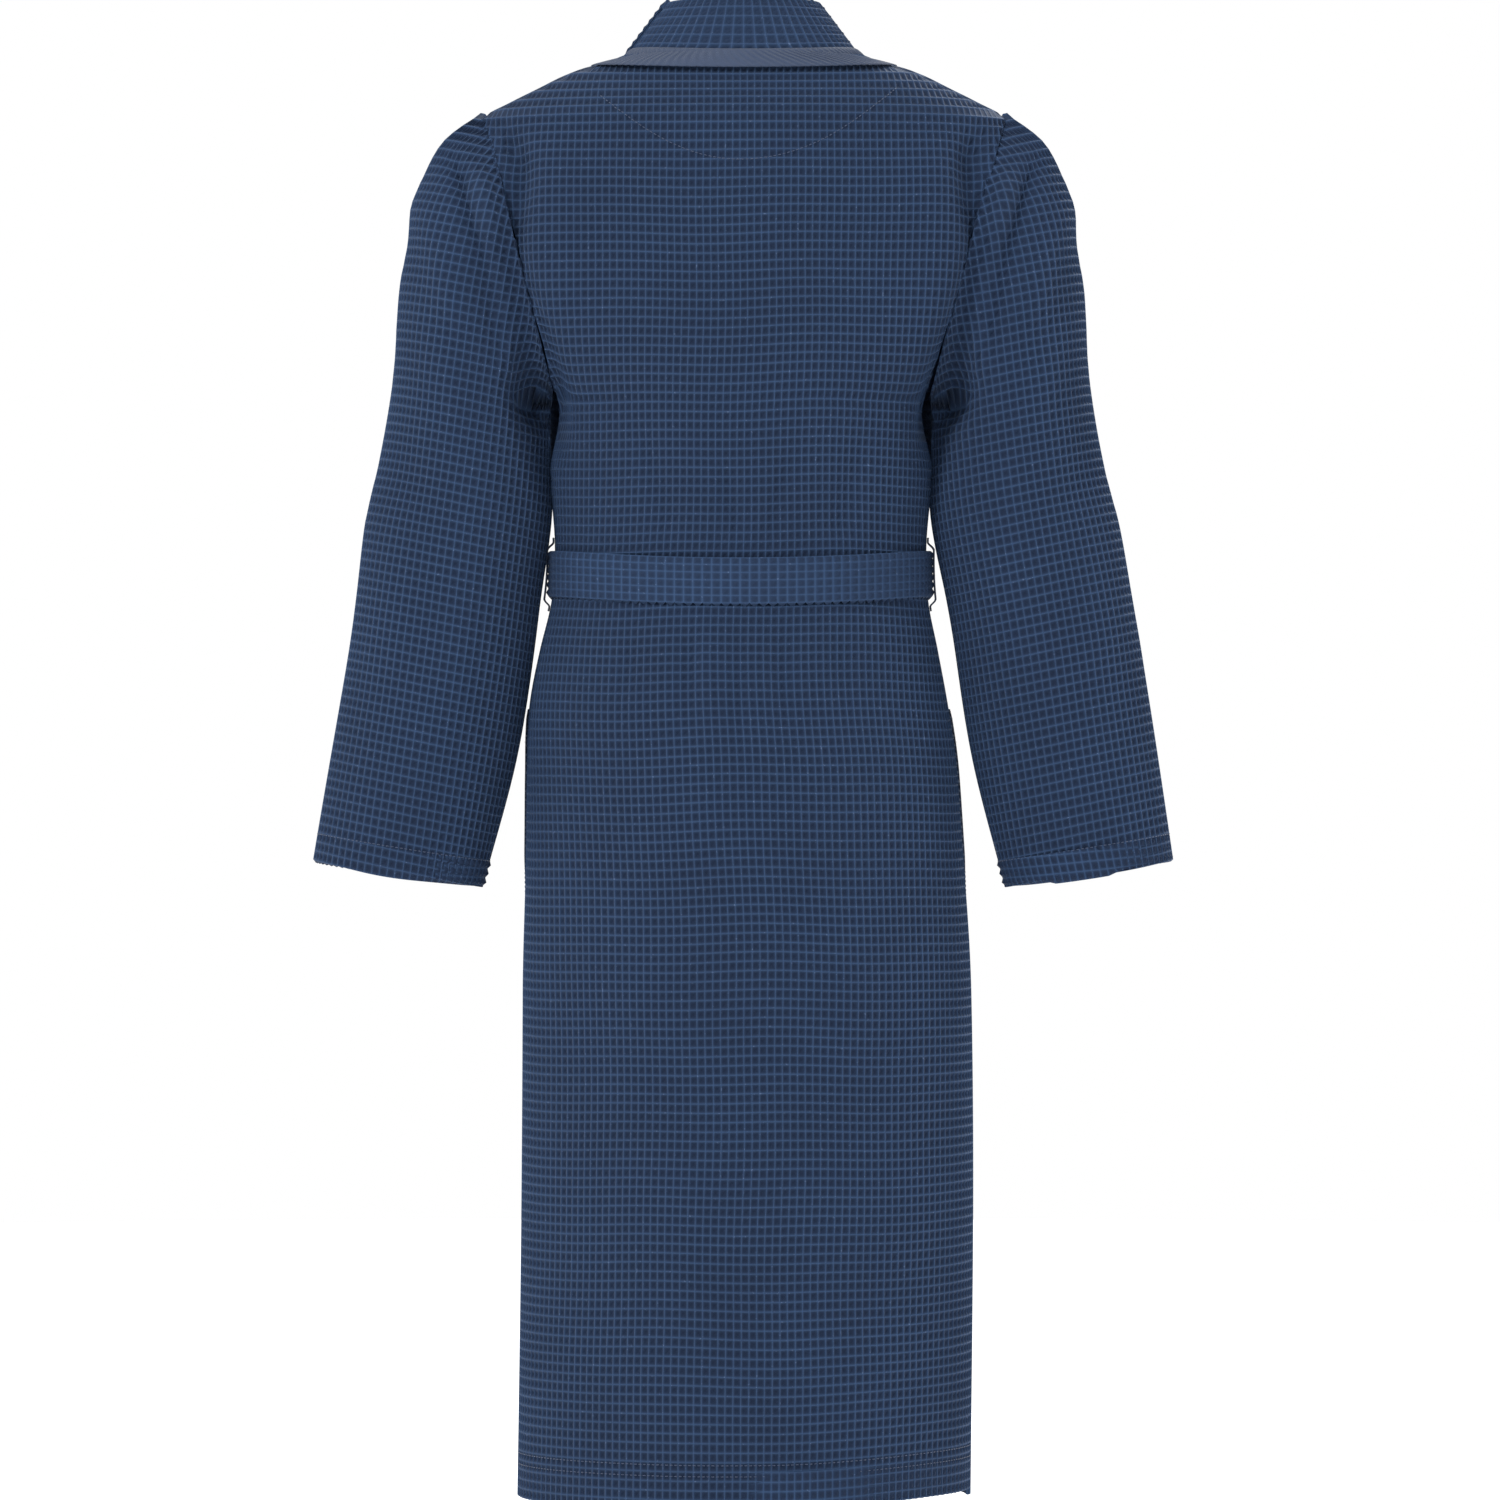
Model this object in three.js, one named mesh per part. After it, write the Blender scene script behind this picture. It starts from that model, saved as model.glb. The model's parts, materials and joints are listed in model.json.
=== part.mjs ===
// A hotel bathrobe in waffle cloth, buttonless, with a standing kimono band and a tied belt.
// It hangs as on a wearer: front towards -Y, back towards +Y, hem down.
// Millimetres, +Z up. Heights below are counted from the hem; the last lines move the
// origin to the underside of the hanger loop, where a hook carries the robe.
import * as THREE from 'three';

// ---- Driving dimensions ----------------------------------------------------------------
const SKIRT_LENGTH = 766; // hem to the middle of the belt
const BODICE_LENGTH = 380; // middle of the belt to the outer end of the shoulder seam
const SHOULDER_RISE = 49; // outer end of the shoulder seam up to the neck seam
const COLLAR_HEIGHT = 45; // neck seam to the top of the standing band
const COLLAR_LEAN = 34; // how far the band leans in at each side over that height
const ARMHOLE_DROP = 240; // outer end of the shoulder seam down to the underarm

const HEM_HALF_WIDTH = 187;
const HEM_HALF_DEPTH = 127;
const WAIST_HALF_WIDTH = 153;
const WAIST_HALF_DEPTH = 103;
const CHEST_HALF_DEPTH = 109;
const UNDERARM_HALF_WIDTH = 161;
const SHOULDER_HALF_WIDTH = 216;
const NECK_HALF_WIDTH = 95;
const NECK_HALF_DEPTH = 62;
const NECK_DIP = 7; // the back neck seam sinks this far at the centre

const SLEEVE_LENGTH = 635; // shoulder seam to cuff, along the outer edge
const CUFF_WIDTH = 140;
const CUFF_TILT = 9; // degrees that the cuff edge drops towards the body
const CUFF_CLEARANCE = 36; // from the body's side to the inner corner of the cuff
const CUFF_HALF_DEPTH = 55;
const SLEEVE_HALF_DEPTH = 66;
const SLEEVE_GAP = 2; // between the sleeve head and the shoulder seam
const SLEEVE_CLEARANCE = 3.5; // between the underarm of the sleeve and the side seam

const CLOTH = 3; // thickness of one layer of waffle cloth
const FACING = 2; // hems, facings and seam allowances, pressed flat
const TAPE = 1.6; // belt loops and the hanger loop
const LABEL = 1;
const GAP = 0.35; // between layers that are sewn together
const LOOSE_GAP = 1; // between layers cut on different lines

const BAND_WIDTH = 54;
const BAND_THICKNESS = 3.4;
const OVERLAP = 70; // the front edge ends this far past the centre line
const WRAP_LIFT = 3.6; // each front rises or sinks this much where they overlap
const HEM_DEPTH = 33;
const CUFF_HEM_DEPTH = 25;

const BELT_WIDTH = 39;
const BELT_THICKNESS = 3.2;
const BELT_SAG = 8; // the belt hangs lower at the back than at the sides
const TAIL_LENGTH = 430;
const TAIL_SPLAY = 24; // sideways run of each tail from the knot to its end
const KNOT_WIDTH = 62;
const KNOT_HEIGHT = 50;
const KNOT_DEPTH = 26;
const LOOP_WIDTH = 12;
const LOOP_SPARE = 11; // belt loop beyond the belt, above and below
const JOINT_GAP = 2; // between the knot and the hinged end of a tail

const POCKET_WIDTH = 140;
const POCKET_HEIGHT = 175;
const POCKET_TOP = 655;
const POCKET_FROM_SEAM = 20;
const POCKET_BULGE = 13; // how far the pocket stands off at its middle, for a hand
const POCKET_HEM = 28;

const FACING_HALF_WIDTH = 130;
const FACING_DEPTH = 92; // half-moon facing, from the neck seam down at the centre
const BINDING_WIDTH = 11;
const BINDING_THICKNESS = 2.4;
const SEAM_WIDTH = 12;
const HANGER_WIDTH = 40;
const HANGER_HEIGHT = 38;
const HANGER_TAPE = 8;
const LABEL_WIDTH = 60;
const LABEL_HEIGHT = 30;

// ---- Levels above the hem --------------------------------------------------------------
const BELT_Z = SKIRT_LENGTH;
const SHOULDER_Z = BELT_Z + BODICE_LENGTH;
const NECK_Z = SHOULDER_Z + SHOULDER_RISE;
const COLLAR_Z = NECK_Z + COLLAR_HEIGHT;
const UNDERARM_Z = SHOULDER_Z - ARMHOLE_DROP;
const HIP_Z = BELT_Z * 0.86;
const ARMHOLE_BULGE = 62; // how far the body would reach past the armhole line if it went on

const { clamp, lerp, degToRad } = THREE.MathUtils;
const cosd = (angle) => Math.cos(degToRad(angle));
const sind = (angle) => Math.sin(degToRad(angle));

/** A smooth curve through hand-set [position, value] knots in rising order. */
function through(knots) {
  const slope = (i) => {
    const low = knots[Math.max(i - 1, 0)];
    const high = knots[Math.min(i + 1, knots.length - 1)];
    return (high[1] - low[1]) / (high[0] - low[0]);
  };
  return (position) => {
    const x = clamp(position, knots[0][0], knots[knots.length - 1][0]);
    let i = 0;
    while (i < knots.length - 2 && x > knots[i + 1][0]) i += 1;
    const step = knots[i + 1][0] - knots[i][0];
    const t = (x - knots[i][0]) / step;
    const rise = (1 - t) ** 2 * t * step * slope(i) - (1 - t) * t * t * step * slope(i + 1);
    return lerp(knots[i][1], knots[i + 1][1], t * t * (3 - 2 * t)) + rise;
  };
}

// ---- The shape the robe hangs in -------------------------------------------------------
const armholeShare = (z) => clamp((z - UNDERARM_Z) / ARMHOLE_DROP, 0, 1);
const armholeX = (z) => lerp(UNDERARM_HALF_WIDTH, SHOULDER_HALF_WIDTH, armholeShare(z));

const sideWidth = through([
  [0, HEM_HALF_WIDTH],
  [BELT_Z * 0.55, HEM_HALF_WIDTH - 2],
  [HIP_Z, lerp(WAIST_HALF_WIDTH, HEM_HALF_WIDTH, 0.56)],
  [BELT_Z - BELT_WIDTH * 0.75, WAIST_HALF_WIDTH + 2],
  [BELT_Z + BELT_WIDTH * 0.6, WAIST_HALF_WIDTH],
  [UNDERARM_Z, UNDERARM_HALF_WIDTH],
]);
const shoulderWidth = through([
  [SHOULDER_Z, SHOULDER_HALF_WIDTH],
  [SHOULDER_Z + SHOULDER_RISE * 0.45, lerp(NECK_HALF_WIDTH, SHOULDER_HALF_WIDTH, 0.64)],
  [SHOULDER_Z + SHOULDER_RISE * 0.8, lerp(NECK_HALF_WIDTH, SHOULDER_HALF_WIDTH, 0.33)],
  [NECK_Z, NECK_HALF_WIDTH],
]);
const collarWidth = (z) => NECK_HALF_WIDTH - (COLLAR_LEAN * (z - NECK_Z)) / COLLAR_HEIGHT;

/** Half the width of the section at a height. */
function halfWidth(z) {
  if (z >= NECK_Z) return collarWidth(z);
  if (z >= SHOULDER_Z) return shoulderWidth(z);
  if (z <= UNDERARM_Z) return sideWidth(z);
  return armholeX(z) + ARMHOLE_BULGE * Math.sin(Math.PI * armholeShare(z));
}

const backDepth = through([
  [0, HEM_HALF_DEPTH],
  [BELT_Z * 0.6, HEM_HALF_DEPTH - 2],
  [HIP_Z, HEM_HALF_DEPTH - 9],
  [BELT_Z - BELT_WIDTH * 0.5, WAIST_HALF_DEPTH],
  [BELT_Z + BELT_WIDTH * 0.5, WAIST_HALF_DEPTH],
  [UNDERARM_Z + 60, CHEST_HALF_DEPTH],
  [SHOULDER_Z - 50, CHEST_HALF_DEPTH - 11],
  [SHOULDER_Z, NECK_HALF_DEPTH + 23],
  [NECK_Z, NECK_HALF_DEPTH],
  [COLLAR_Z, NECK_HALF_DEPTH - 10],
]);
const frontDepth = through([
  [0, HEM_HALF_DEPTH],
  [BELT_Z * 0.6, HEM_HALF_DEPTH - 4],
  [HIP_Z, HEM_HALF_DEPTH - 11],
  [BELT_Z - BELT_WIDTH * 0.5, WAIST_HALF_DEPTH],
  [BELT_Z + BELT_WIDTH * 0.5, WAIST_HALF_DEPTH],
  [UNDERARM_Z + 60, CHEST_HALF_DEPTH + 2],
  [SHOULDER_Z - 50, CHEST_HALF_DEPTH - 16],
  [SHOULDER_Z, NECK_HALF_DEPTH + 11],
  [NECK_Z, NECK_HALF_DEPTH - 6],
  [COLLAR_Z, NECK_HALF_DEPTH - 12],
]);

/** A point of the hanging shape; angle 0 is the centre back, 90 the wearer's left, 180 the front. */
function onForm(angle, z) {
  const depth = cosd(angle) > 0 ? backDepth(z) : frontDepth(z);
  return new THREE.Vector3(halfWidth(z) * sind(angle), depth * cosd(angle), z);
}

/** The angle of a point x across the back at a height. */
const angleAt = (x, z) => THREE.MathUtils.radToDeg(Math.asin(clamp(x / halfWidth(z), -1, 1)));

/** The angle at which the side seam, the armhole or the shoulder seam lies at a height. */
const seamAngle = (z) => (z > UNDERARM_Z && z < SHOULDER_Z ? angleAt(armholeX(z), z) : 90);

// ---- Cloth -----------------------------------------------------------------------------
const steps = (count) => Array.from({ length: count + 1 }, (_, i) => i / count);

/** The grid lines from one value to another, with both ends. */
function cuts(lines, from, to) {
  const tiny = 1e-6;
  return [from, ...lines.filter((line) => line > from + tiny && line < to - tiny), to];
}

/** Turns a closed geometry's faces outwards. */
function outward(geometry) {
  const { index } = geometry;
  const position = geometry.attributes.position;
  const corner = [0, 1, 2].map(() => new THREE.Vector3());
  let volume = 0;
  for (let i = 0; i < index.count; i += 3) {
    corner.forEach((point, k) => point.fromBufferAttribute(position, index.getX(i + k)));
    volume += corner[0].dot(corner[1].clone().cross(corner[2]));
  }
  if (volume < 0) index.array.reverse();
  return geometry;
}

/**
 * The middle surface of one piece of cloth, as a grid of points and normals. Every layer
 * on it is cut from the same grid, so layers lie parallel. A ring closes on itself.
 */
class Cloth {
  constructor(columns, rows, surface, centre = (point) => new THREE.Vector3(0, 0, point.z)) {
    this.columns = columns;
    this.rows = rows;
    this.nodes = rows.map((v) => columns.map((u) => Cloth.node(surface, u, v, centre)));
  }

  static node(surface, u, v, centre) {
    const step = 1e-3;
    const [u0, u1] = [Math.max(u - step, 0), Math.min(u + step, 1)];
    const [v0, v1] = [Math.max(v - step, 0), Math.min(v + step, 1)];
    const point = surface(u, v);
    const across = surface(u1, v).sub(surface(u0, v));
    const along = surface(u, v1).sub(surface(u, v0));
    const normal = across.cross(along).normalize();
    if (normal.dot(point.clone().sub(centre(point, v))) < 0) normal.negate();
    return { point, normal };
  }

  /** The point at (u, v), lifted off the surface, straight between grid points. */
  at(u, v, lift) {
    const [i, s] = Cloth.cell(this.columns, u);
    const [j, t] = Cloth.cell(this.rows, v);
    const corner = (row, column) => {
      const { point, normal } = this.nodes[row][column];
      return point.clone().addScaledVector(normal, lift);
    };
    const low = corner(j, i).lerp(corner(j, i + 1), s);
    return low.lerp(corner(j + 1, i).lerp(corner(j + 1, i + 1), s), t);
  }

  static cell(lines, value) {
    let i = 0;
    while (i < lines.length - 2 && value > lines[i + 1]) i += 1;
    return [i, (value - lines[i]) / (lines[i + 1] - lines[i])];
  }

  /** A closed layer over part of the surface, between two lifts, each a function of (u, v). */
  layer([u0, u1], [v0, v1], inner, outer) {
    const us = cuts(this.columns, u0, u1);
    const vs = cuts(this.rows, v0, v1);
    const [across, along] = [us.length - 1, vs.length - 1];
    const geometry = new THREE.BoxGeometry(1, 1, 1, across, along, 1);
    const { position } = geometry.attributes;
    for (let i = 0; i < position.count; i += 1) {
      const u = us[Math.round((position.getX(i) + 0.5) * across)];
      const v = vs[Math.round((position.getY(i) + 0.5) * along)];
      const lift = position.getZ(i) > 0 ? outer(u, v) : inner(u, v);
      position.setXYZ(i, ...this.at(u, v, lift).toArray());
    }
    return outward(geometry);
  }

  /** The same all the way round a ring, whose columns are evenly spaced. */
  ring([v0, v1], inner, outer) {
    const vs = cuts(this.rows, v0, v1);
    const wall = (radius) => vs.map((v) => new THREE.Vector2(radius, v));
    const profile = [...wall(2), ...wall(1).reverse(), new THREE.Vector2(2, v0)];
    const geometry = new THREE.LatheGeometry(profile, this.columns.length - 1);
    const { position } = geometry.attributes;
    for (let i = 0; i < position.count; i += 1) {
      const [x, v, z] = [position.getX(i), position.getY(i), position.getZ(i)];
      const turn = Math.round((Math.atan2(x, z) / (2 * Math.PI)) * (this.columns.length - 1));
      const u = this.columns[(turn + this.columns.length - 1) % (this.columns.length - 1)];
      const row = vs.reduce((best, line) => (Math.abs(line - v) < Math.abs(best - v) ? line : best));
      const lift = Math.hypot(x, z) > 1.5 ? outer(u, row) : inner(u, row);
      position.setXYZ(i, ...this.at(u, row, lift).toArray());
    }
    return outward(geometry);
  }
}

// ---- Materials and naming --------------------------------------------------------------
const NAVY = '#354f76';
const NAVY_TRIM = '#2f486e';
const WHITE = '#d9dbe0';
const robe = new THREE.Group();

/** Adds one named piece of the robe to a group. */
function add(name, geometry, colour = NAVY, roughness = 0.92, group = robe) {
  const material = new THREE.MeshStandardMaterial({ color: colour, roughness, metalness: 0 });
  const mesh = new THREE.Mesh(geometry, material);
  mesh.name = name;
  group.add(mesh);
  return mesh;
}

const flat = (lift) => () => lift;
const SIDES = { left: 1, right: -1 };

// ---- Back ------------------------------------------------------------------------------
const BELT_LOW = BELT_Z - BELT_WIDTH / 2;
const BELT_HIGH = BELT_Z + BELT_WIDTH / 2;
const armholeLevels = [0, 0.05, 0.14, 0.3, 0.5, 0.74, 0.9, 1].map((share) => UNDERARM_Z + share * ARMHOLE_DROP);
const shoulderLevels = [0.3, 0.55, 0.78, 0.92, 1].map((share) => SHOULDER_Z + share * SHOULDER_RISE);
const skirtLevels = [0, 0.3, 0.55, 0.72, 0.82, 0.9].map((share) => share * BELT_Z);
const levels = [
  ...skirtLevels.toSpliced(1, 0, HEM_DEPTH),
  BELT_LOW,
  BELT_HIGH,
  (BELT_HIGH + UNDERARM_Z) / 2,
  ...armholeLevels,
  ...shoulderLevels,
];
const TOP = NECK_Z;
const share = (z) => z / TOP;

/** The back neck seam's height: lowest at the centre back. */
const neckSeam = (angle) => NECK_Z - NECK_DIP * cosd(angle) ** 2;
const dipped = (z, angle) => {
  if (z <= SHOULDER_Z) return z;
  return lerp(SHOULDER_Z, neckSeam(angle), (z - SHOULDER_Z) / SHOULDER_RISE);
};

const backCloth = new Cloth(steps(16), levels.map(share), (u, v) => {
  const z = v * TOP;
  const angle = lerp(-1, 1, u) * seamAngle(z);
  return onForm(angle, dipped(z, angle));
});
const SEAM_INSET = 0.0009; // share of the back's width that it draws back from a seam line
const halfCloth = CLOTH / 2;
const insideOut = -(halfCloth + GAP);
const BACK_TOP = share(NECK_Z - 1.5);
add(
  'back_panel',
  backCloth.layer([SEAM_INSET, 1 - SEAM_INSET], [0, BACK_TOP], flat(-halfCloth), flat(halfCloth)),
);
add(
  'back_hem',
  backCloth.layer([0.01, 0.99], [0, share(HEM_DEPTH)], flat(insideOut - FACING), flat(insideOut)),
);

const seamShare = SEAM_WIDTH / (Math.PI * CHEST_HALF_DEPTH);
for (const [side, sign] of Object.entries(SIDES)) {
  const edge = sign > 0 ? [0.99 - seamShare, 0.99] : [0.01, 0.01 + seamShare];
  add(
    `side_seam_${side}`,
    backCloth.layer(edge, [share(HEM_DEPTH + GAP), share(UNDERARM_Z)], flat(insideOut - FACING), flat(insideOut)),
    NAVY_TRIM,
  );
  add(
    `shoulder_seam_${side}`,
    backCloth.layer(edge, [share(SHOULDER_Z + 4), share(NECK_Z - 3)], flat(insideOut - FACING), flat(insideOut)),
    NAVY_TRIM,
  );
}

// ---- Half-moon facing, label and hanger loop at the back neck -----------------------------
const facingTop = (x) => NECK_Z - NECK_DIP - 1 - 6 * (x / FACING_HALF_WIDTH) ** 2;
const facingLow = (x) => NECK_Z - FACING_DEPTH + 0.78 * FACING_DEPTH * (x / FACING_HALF_WIDTH) ** 2;
const facingCloth = new Cloth(steps(12), steps(6), (u, v) => {
  const x = lerp(-1, 1, u) * FACING_HALF_WIDTH;
  const z = lerp(facingLow(x), facingTop(x), v);
  return onForm(angleAt(x, z), z);
});
const facingOut = -(halfCloth + FACING + GAP + LOOSE_GAP);
add(
  'back_neck_facing',
  facingCloth.layer([0.09, 0.91], [0, 1], flat(facingOut - FACING), flat(facingOut)),
);
const labelHalf = LABEL_WIDTH / FACING_HALF_WIDTH / 4;
const labelLow = 0.3;
const labelHigh = labelLow + LABEL_HEIGHT / FACING_DEPTH;
add(
  'neck_label',
  facingCloth.layer(
    [0.5 - labelHalf, 0.5 + labelHalf],
    [labelLow, labelHigh],
    flat(facingOut - FACING - GAP - LABEL),
    flat(facingOut - FACING - GAP),
  ),
  WHITE,
  0.7,
);

/** The hanger loop: an arch of tape, sewn down at both feet and standing inside the band. */
function hangerLoop() {
  const halfSpan = HANGER_WIDTH / 2;
  const outline = new THREE.Shape();
  outline.moveTo(-halfSpan, 0);
  outline.lineTo(-halfSpan + TAPE, 0);
  outline.lineTo(-halfSpan + TAPE, HANGER_HEIGHT - TAPE);
  outline.lineTo(halfSpan - TAPE, HANGER_HEIGHT - TAPE);
  outline.lineTo(halfSpan - TAPE, 0);
  outline.lineTo(halfSpan, 0);
  outline.lineTo(halfSpan, HANGER_HEIGHT);
  outline.lineTo(-halfSpan, HANGER_HEIGHT);
  outline.closePath();
  const geometry = new THREE.ExtrudeGeometry(outline, { depth: HANGER_TAPE, bevelEnabled: false });
  geometry.rotateX(Math.PI / 2);
  return geometry;
}

const HANGER_FOOT_Z = NECK_Z - NECK_DIP - 8;
const HANGER_UNDER_Z = HANGER_FOOT_Z + HANGER_HEIGHT - TAPE;
const hangerBack = (z) => backDepth(z) - (halfCloth + 2 * FACING + 2 * GAP + 2 * LOOSE_GAP) - 1.5;
const hanger = hangerLoop();
const hangerPoints = hanger.attributes.position;
const hangerLean = (hangerBack(HANGER_UNDER_Z) - hangerBack(HANGER_FOOT_Z)) / HANGER_HEIGHT;
for (let i = 0; i < hangerPoints.count; i += 1) {
  const z = hangerPoints.getZ(i);
  hangerPoints.setY(i, hangerPoints.getY(i) + hangerBack(HANGER_FOOT_Z) + hangerLean * z);
  hangerPoints.setZ(i, HANGER_FOOT_Z + z);
}
add('hanger_loop', hanger, NAVY_TRIM);

// ---- Fronts ----------------------------------------------------------------------------
const CENTRE_FRONT = -(OVERLAP - BAND_WIDTH); // where the band is sewn on, past the centre line
/** How far off the centre line a front's band seam runs, at each height. */
const bandSeam = through([
  [0, CENTRE_FRONT],
  [BELT_LOW, CENTRE_FRONT],
  [BELT_HIGH, CENTRE_FRONT + 4],
  [UNDERARM_Z, lerp(CENTRE_FRONT, NECK_HALF_WIDTH, 0.27)],
  [lerp(UNDERARM_Z, SHOULDER_Z, 0.5), lerp(CENTRE_FRONT, NECK_HALF_WIDTH, 0.56)],
  [SHOULDER_Z, lerp(CENTRE_FRONT, NECK_HALF_WIDTH, 0.9)],
  [NECK_Z, NECK_HALF_WIDTH - 0.02],
]);

/** The lift of a front: nothing at the side seam, up or down where the fronts overlap. */
const wrapLift = (u, way) => way * WRAP_LIFT * THREE.MathUtils.smoothstep(u, 0.1, 0.75);

const bandStations = [...levels.slice(0, -1), lerp(levels.at(-2), NECK_Z, 0.6), NECK_Z].toReversed();
/** The turn of the band's width from straight up at the neck to level at the skirt, in degrees. */
const bandTurn = through([
  [UNDERARM_Z, 90],
  [SHOULDER_Z, 62],
  [NECK_Z, THREE.MathUtils.radToDeg(Math.atan2(COLLAR_LEAN, COLLAR_HEIGHT))],
]);

for (const [side, sign] of Object.entries(SIDES)) {
  const way = sign; // the left front laps over the right
  const front = new Cloth(steps(10), levels.map(share), (u, v) => {
    const z = v * TOP;
    const seamX = Math.min(bandSeam(z), halfWidth(z) - 0.5);
    const angle = 180 - lerp(seamAngle(z), angleAt(seamX, z), u);
    return onForm(sign * angle, z);
  });
  const lift = (base) => (u) => base + wrapLift(u, way);
  add(
    `front_${side}_panel`,
    front.layer([2 * SEAM_INSET, 0.997], [0, share(NECK_Z - 2)], lift(-halfCloth), lift(halfCloth)),
  );
  add(
    `front_${side}_hem`,
    front.layer([0.02, 0.99], [0, share(HEM_DEPTH)], lift(insideOut - FACING), lift(insideOut)),
  );

  const band = new Cloth(steps(2), steps(bandStations.length - 1), (u, v) => {
    const place = v * (bandStations.length - 1);
    const i = Math.min(Math.floor(place), bandStations.length - 2);
    const z = lerp(bandStations[i], bandStations[i + 1], place - i);
    const x = Math.min(bandSeam(z), halfWidth(z) - 0.5) - u * BAND_WIDTH * sind(bandTurn(z));
    const height = z + u * BAND_WIDTH * cosd(bandTurn(z));
    return onForm(sign * (180 - angleAt(x, height)), height);
  });
  const bandLift = (base) => () => base + way * WRAP_LIFT;
  add(
    `front_band_${side}`,
    band.layer([0.02, 1], [0, 1], bandLift(-BAND_THICKNESS / 2), bandLift(BAND_THICKNESS / 2)),
  );

  // Patch pocket: sewn down round three sides, open at the top, standing off the front.
  const pocketRow = (t) => share(POCKET_TOP - POCKET_HEIGHT * (1 - t));
  const quarter = Math.PI * 0.5 * (HEM_HALF_WIDTH + HEM_HALF_DEPTH) * 0.5 + OVERLAP - BAND_WIDTH;
  const [pocketStart, pocketEnd] = [POCKET_FROM_SEAM, POCKET_FROM_SEAM + POCKET_WIDTH].map((d) => d / quarter);
  const pocketCloth = new Cloth(steps(8), steps(6), (u, v) => {
    return front.at(lerp(pocketStart, pocketEnd, u), pocketRow(v), 0);
  });
  const standOff = (u, v) => {
    const across = Math.min(1, 4 * Math.min(u, 1 - u));
    const up = Math.min(1, 3 * v);
    return POCKET_BULGE * Math.sin((across * Math.PI) / 2) * Math.sin((up * Math.PI) / 2);
  };
  const pocketBase = (u) => halfCloth + LOOSE_GAP + wrapLift(lerp(pocketStart, pocketEnd, u), way);
  add(
    `pocket_${side}`,
    pocketCloth.layer(
      [0, 1],
      [0, 1],
      (u, v) => pocketBase(u) + standOff(u, v),
      (u, v) => pocketBase(u) + standOff(u, v) + CLOTH,
    ),
  );
  const pocketHemRow = 1 - POCKET_HEM / POCKET_HEIGHT;
  add(
    `pocket_hem_${side}`,
    pocketCloth.layer(
      [0, 1],
      [pocketHemRow, 1],
      (u, v) => pocketBase(u) + standOff(u, v) + CLOTH + GAP,
      (u, v) => pocketBase(u) + standOff(u, v) + CLOTH + GAP + FACING / 2,
    ),
    NAVY_TRIM,
  );
}

// ---- Standing band at the back neck, and the bound seam at its foot ------------------------
const collarCloth = new Cloth(steps(14), [0, BINDING_WIDTH / COLLAR_HEIGHT, 0.6, 1], (u, v) => {
  const angle = lerp(-90, 90, u);
  const z = lerp(neckSeam(angle) + GAP, COLLAR_Z, v);
  return onForm(angle, z);
});
const halfBand = BAND_THICKNESS / 2;
add('collar_band_back', collarCloth.layer([0.002, 0.998], [0, 1], flat(-halfBand), flat(halfBand)));
add(
  'neck_binding',
  collarCloth.layer(
    [0.04, 0.96],
    [0, BINDING_WIDTH / COLLAR_HEIGHT],
    flat(halfBand + LOOSE_GAP),
    flat(halfBand + LOOSE_GAP + BINDING_THICKNESS),
  ),
  NAVY_TRIM,
);

// ---- Sleeves ---------------------------------------------------------------------------
const sleeveBulge = through([[0, 0], [0.055, 26], [0.125, 34], [0.39, 22], [0.65, 13], [1, 0]]);
const underarmSag = through([[0, 0], [0.3, -15.5], [0.5, -15], [0.72, -14], [1, 0]]);
const armholeDepth = (z) => backDepth(z) * cosd(seamAngle(z));
const sleeveTop = new THREE.Vector3(SHOULDER_HALF_WIDTH + SLEEVE_GAP, 0, SHOULDER_Z);
const cuffSide = sideWidth(SHOULDER_Z - SLEEVE_LENGTH) + CUFF_CLEARANCE + CUFF_WIDTH * cosd(CUFF_TILT);
const sleeveLean = Math.asin((cuffSide - sleeveTop.x) / SLEEVE_LENGTH);
const armDirection = new THREE.Vector3(Math.sin(sleeveLean), 0, -Math.cos(sleeveLean));
const armOutward = new THREE.Vector3(Math.cos(sleeveLean), 0, Math.sin(sleeveLean));
const sleeveUnder = new THREE.Vector3(UNDERARM_HALF_WIDTH + SLEEVE_CLEARANCE, 0, UNDERARM_Z);
const cuffOuter = sleeveTop.clone().addScaledVector(armDirection, SLEEVE_LENGTH);
const cuffInner = cuffOuter.clone().add(
  new THREE.Vector3(-cosd(CUFF_TILT), 0, -sind(CUFF_TILT)).multiplyScalar(CUFF_WIDTH),
);

const outerEdge = (v) => sleeveTop.clone().lerp(cuffOuter, v).addScaledVector(armOutward, sleeveBulge(v));
const innerEdge = (v) => {
  const point = sleeveUnder.clone().lerp(cuffInner, v);
  point.x += underarmSag(v);
  return point;
};
const sleeveRows = [0, 0.05, 0.12, 0.22, 0.36, 0.52, 0.68, 0.84, 1 - CUFF_HEM_DEPTH / SLEEVE_LENGTH, 1];
const sleeveDepth = through([[0, SLEEVE_HALF_DEPTH + 4], [0.4, SLEEVE_HALF_DEPTH], [1, CUFF_HALF_DEPTH]]);

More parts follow.
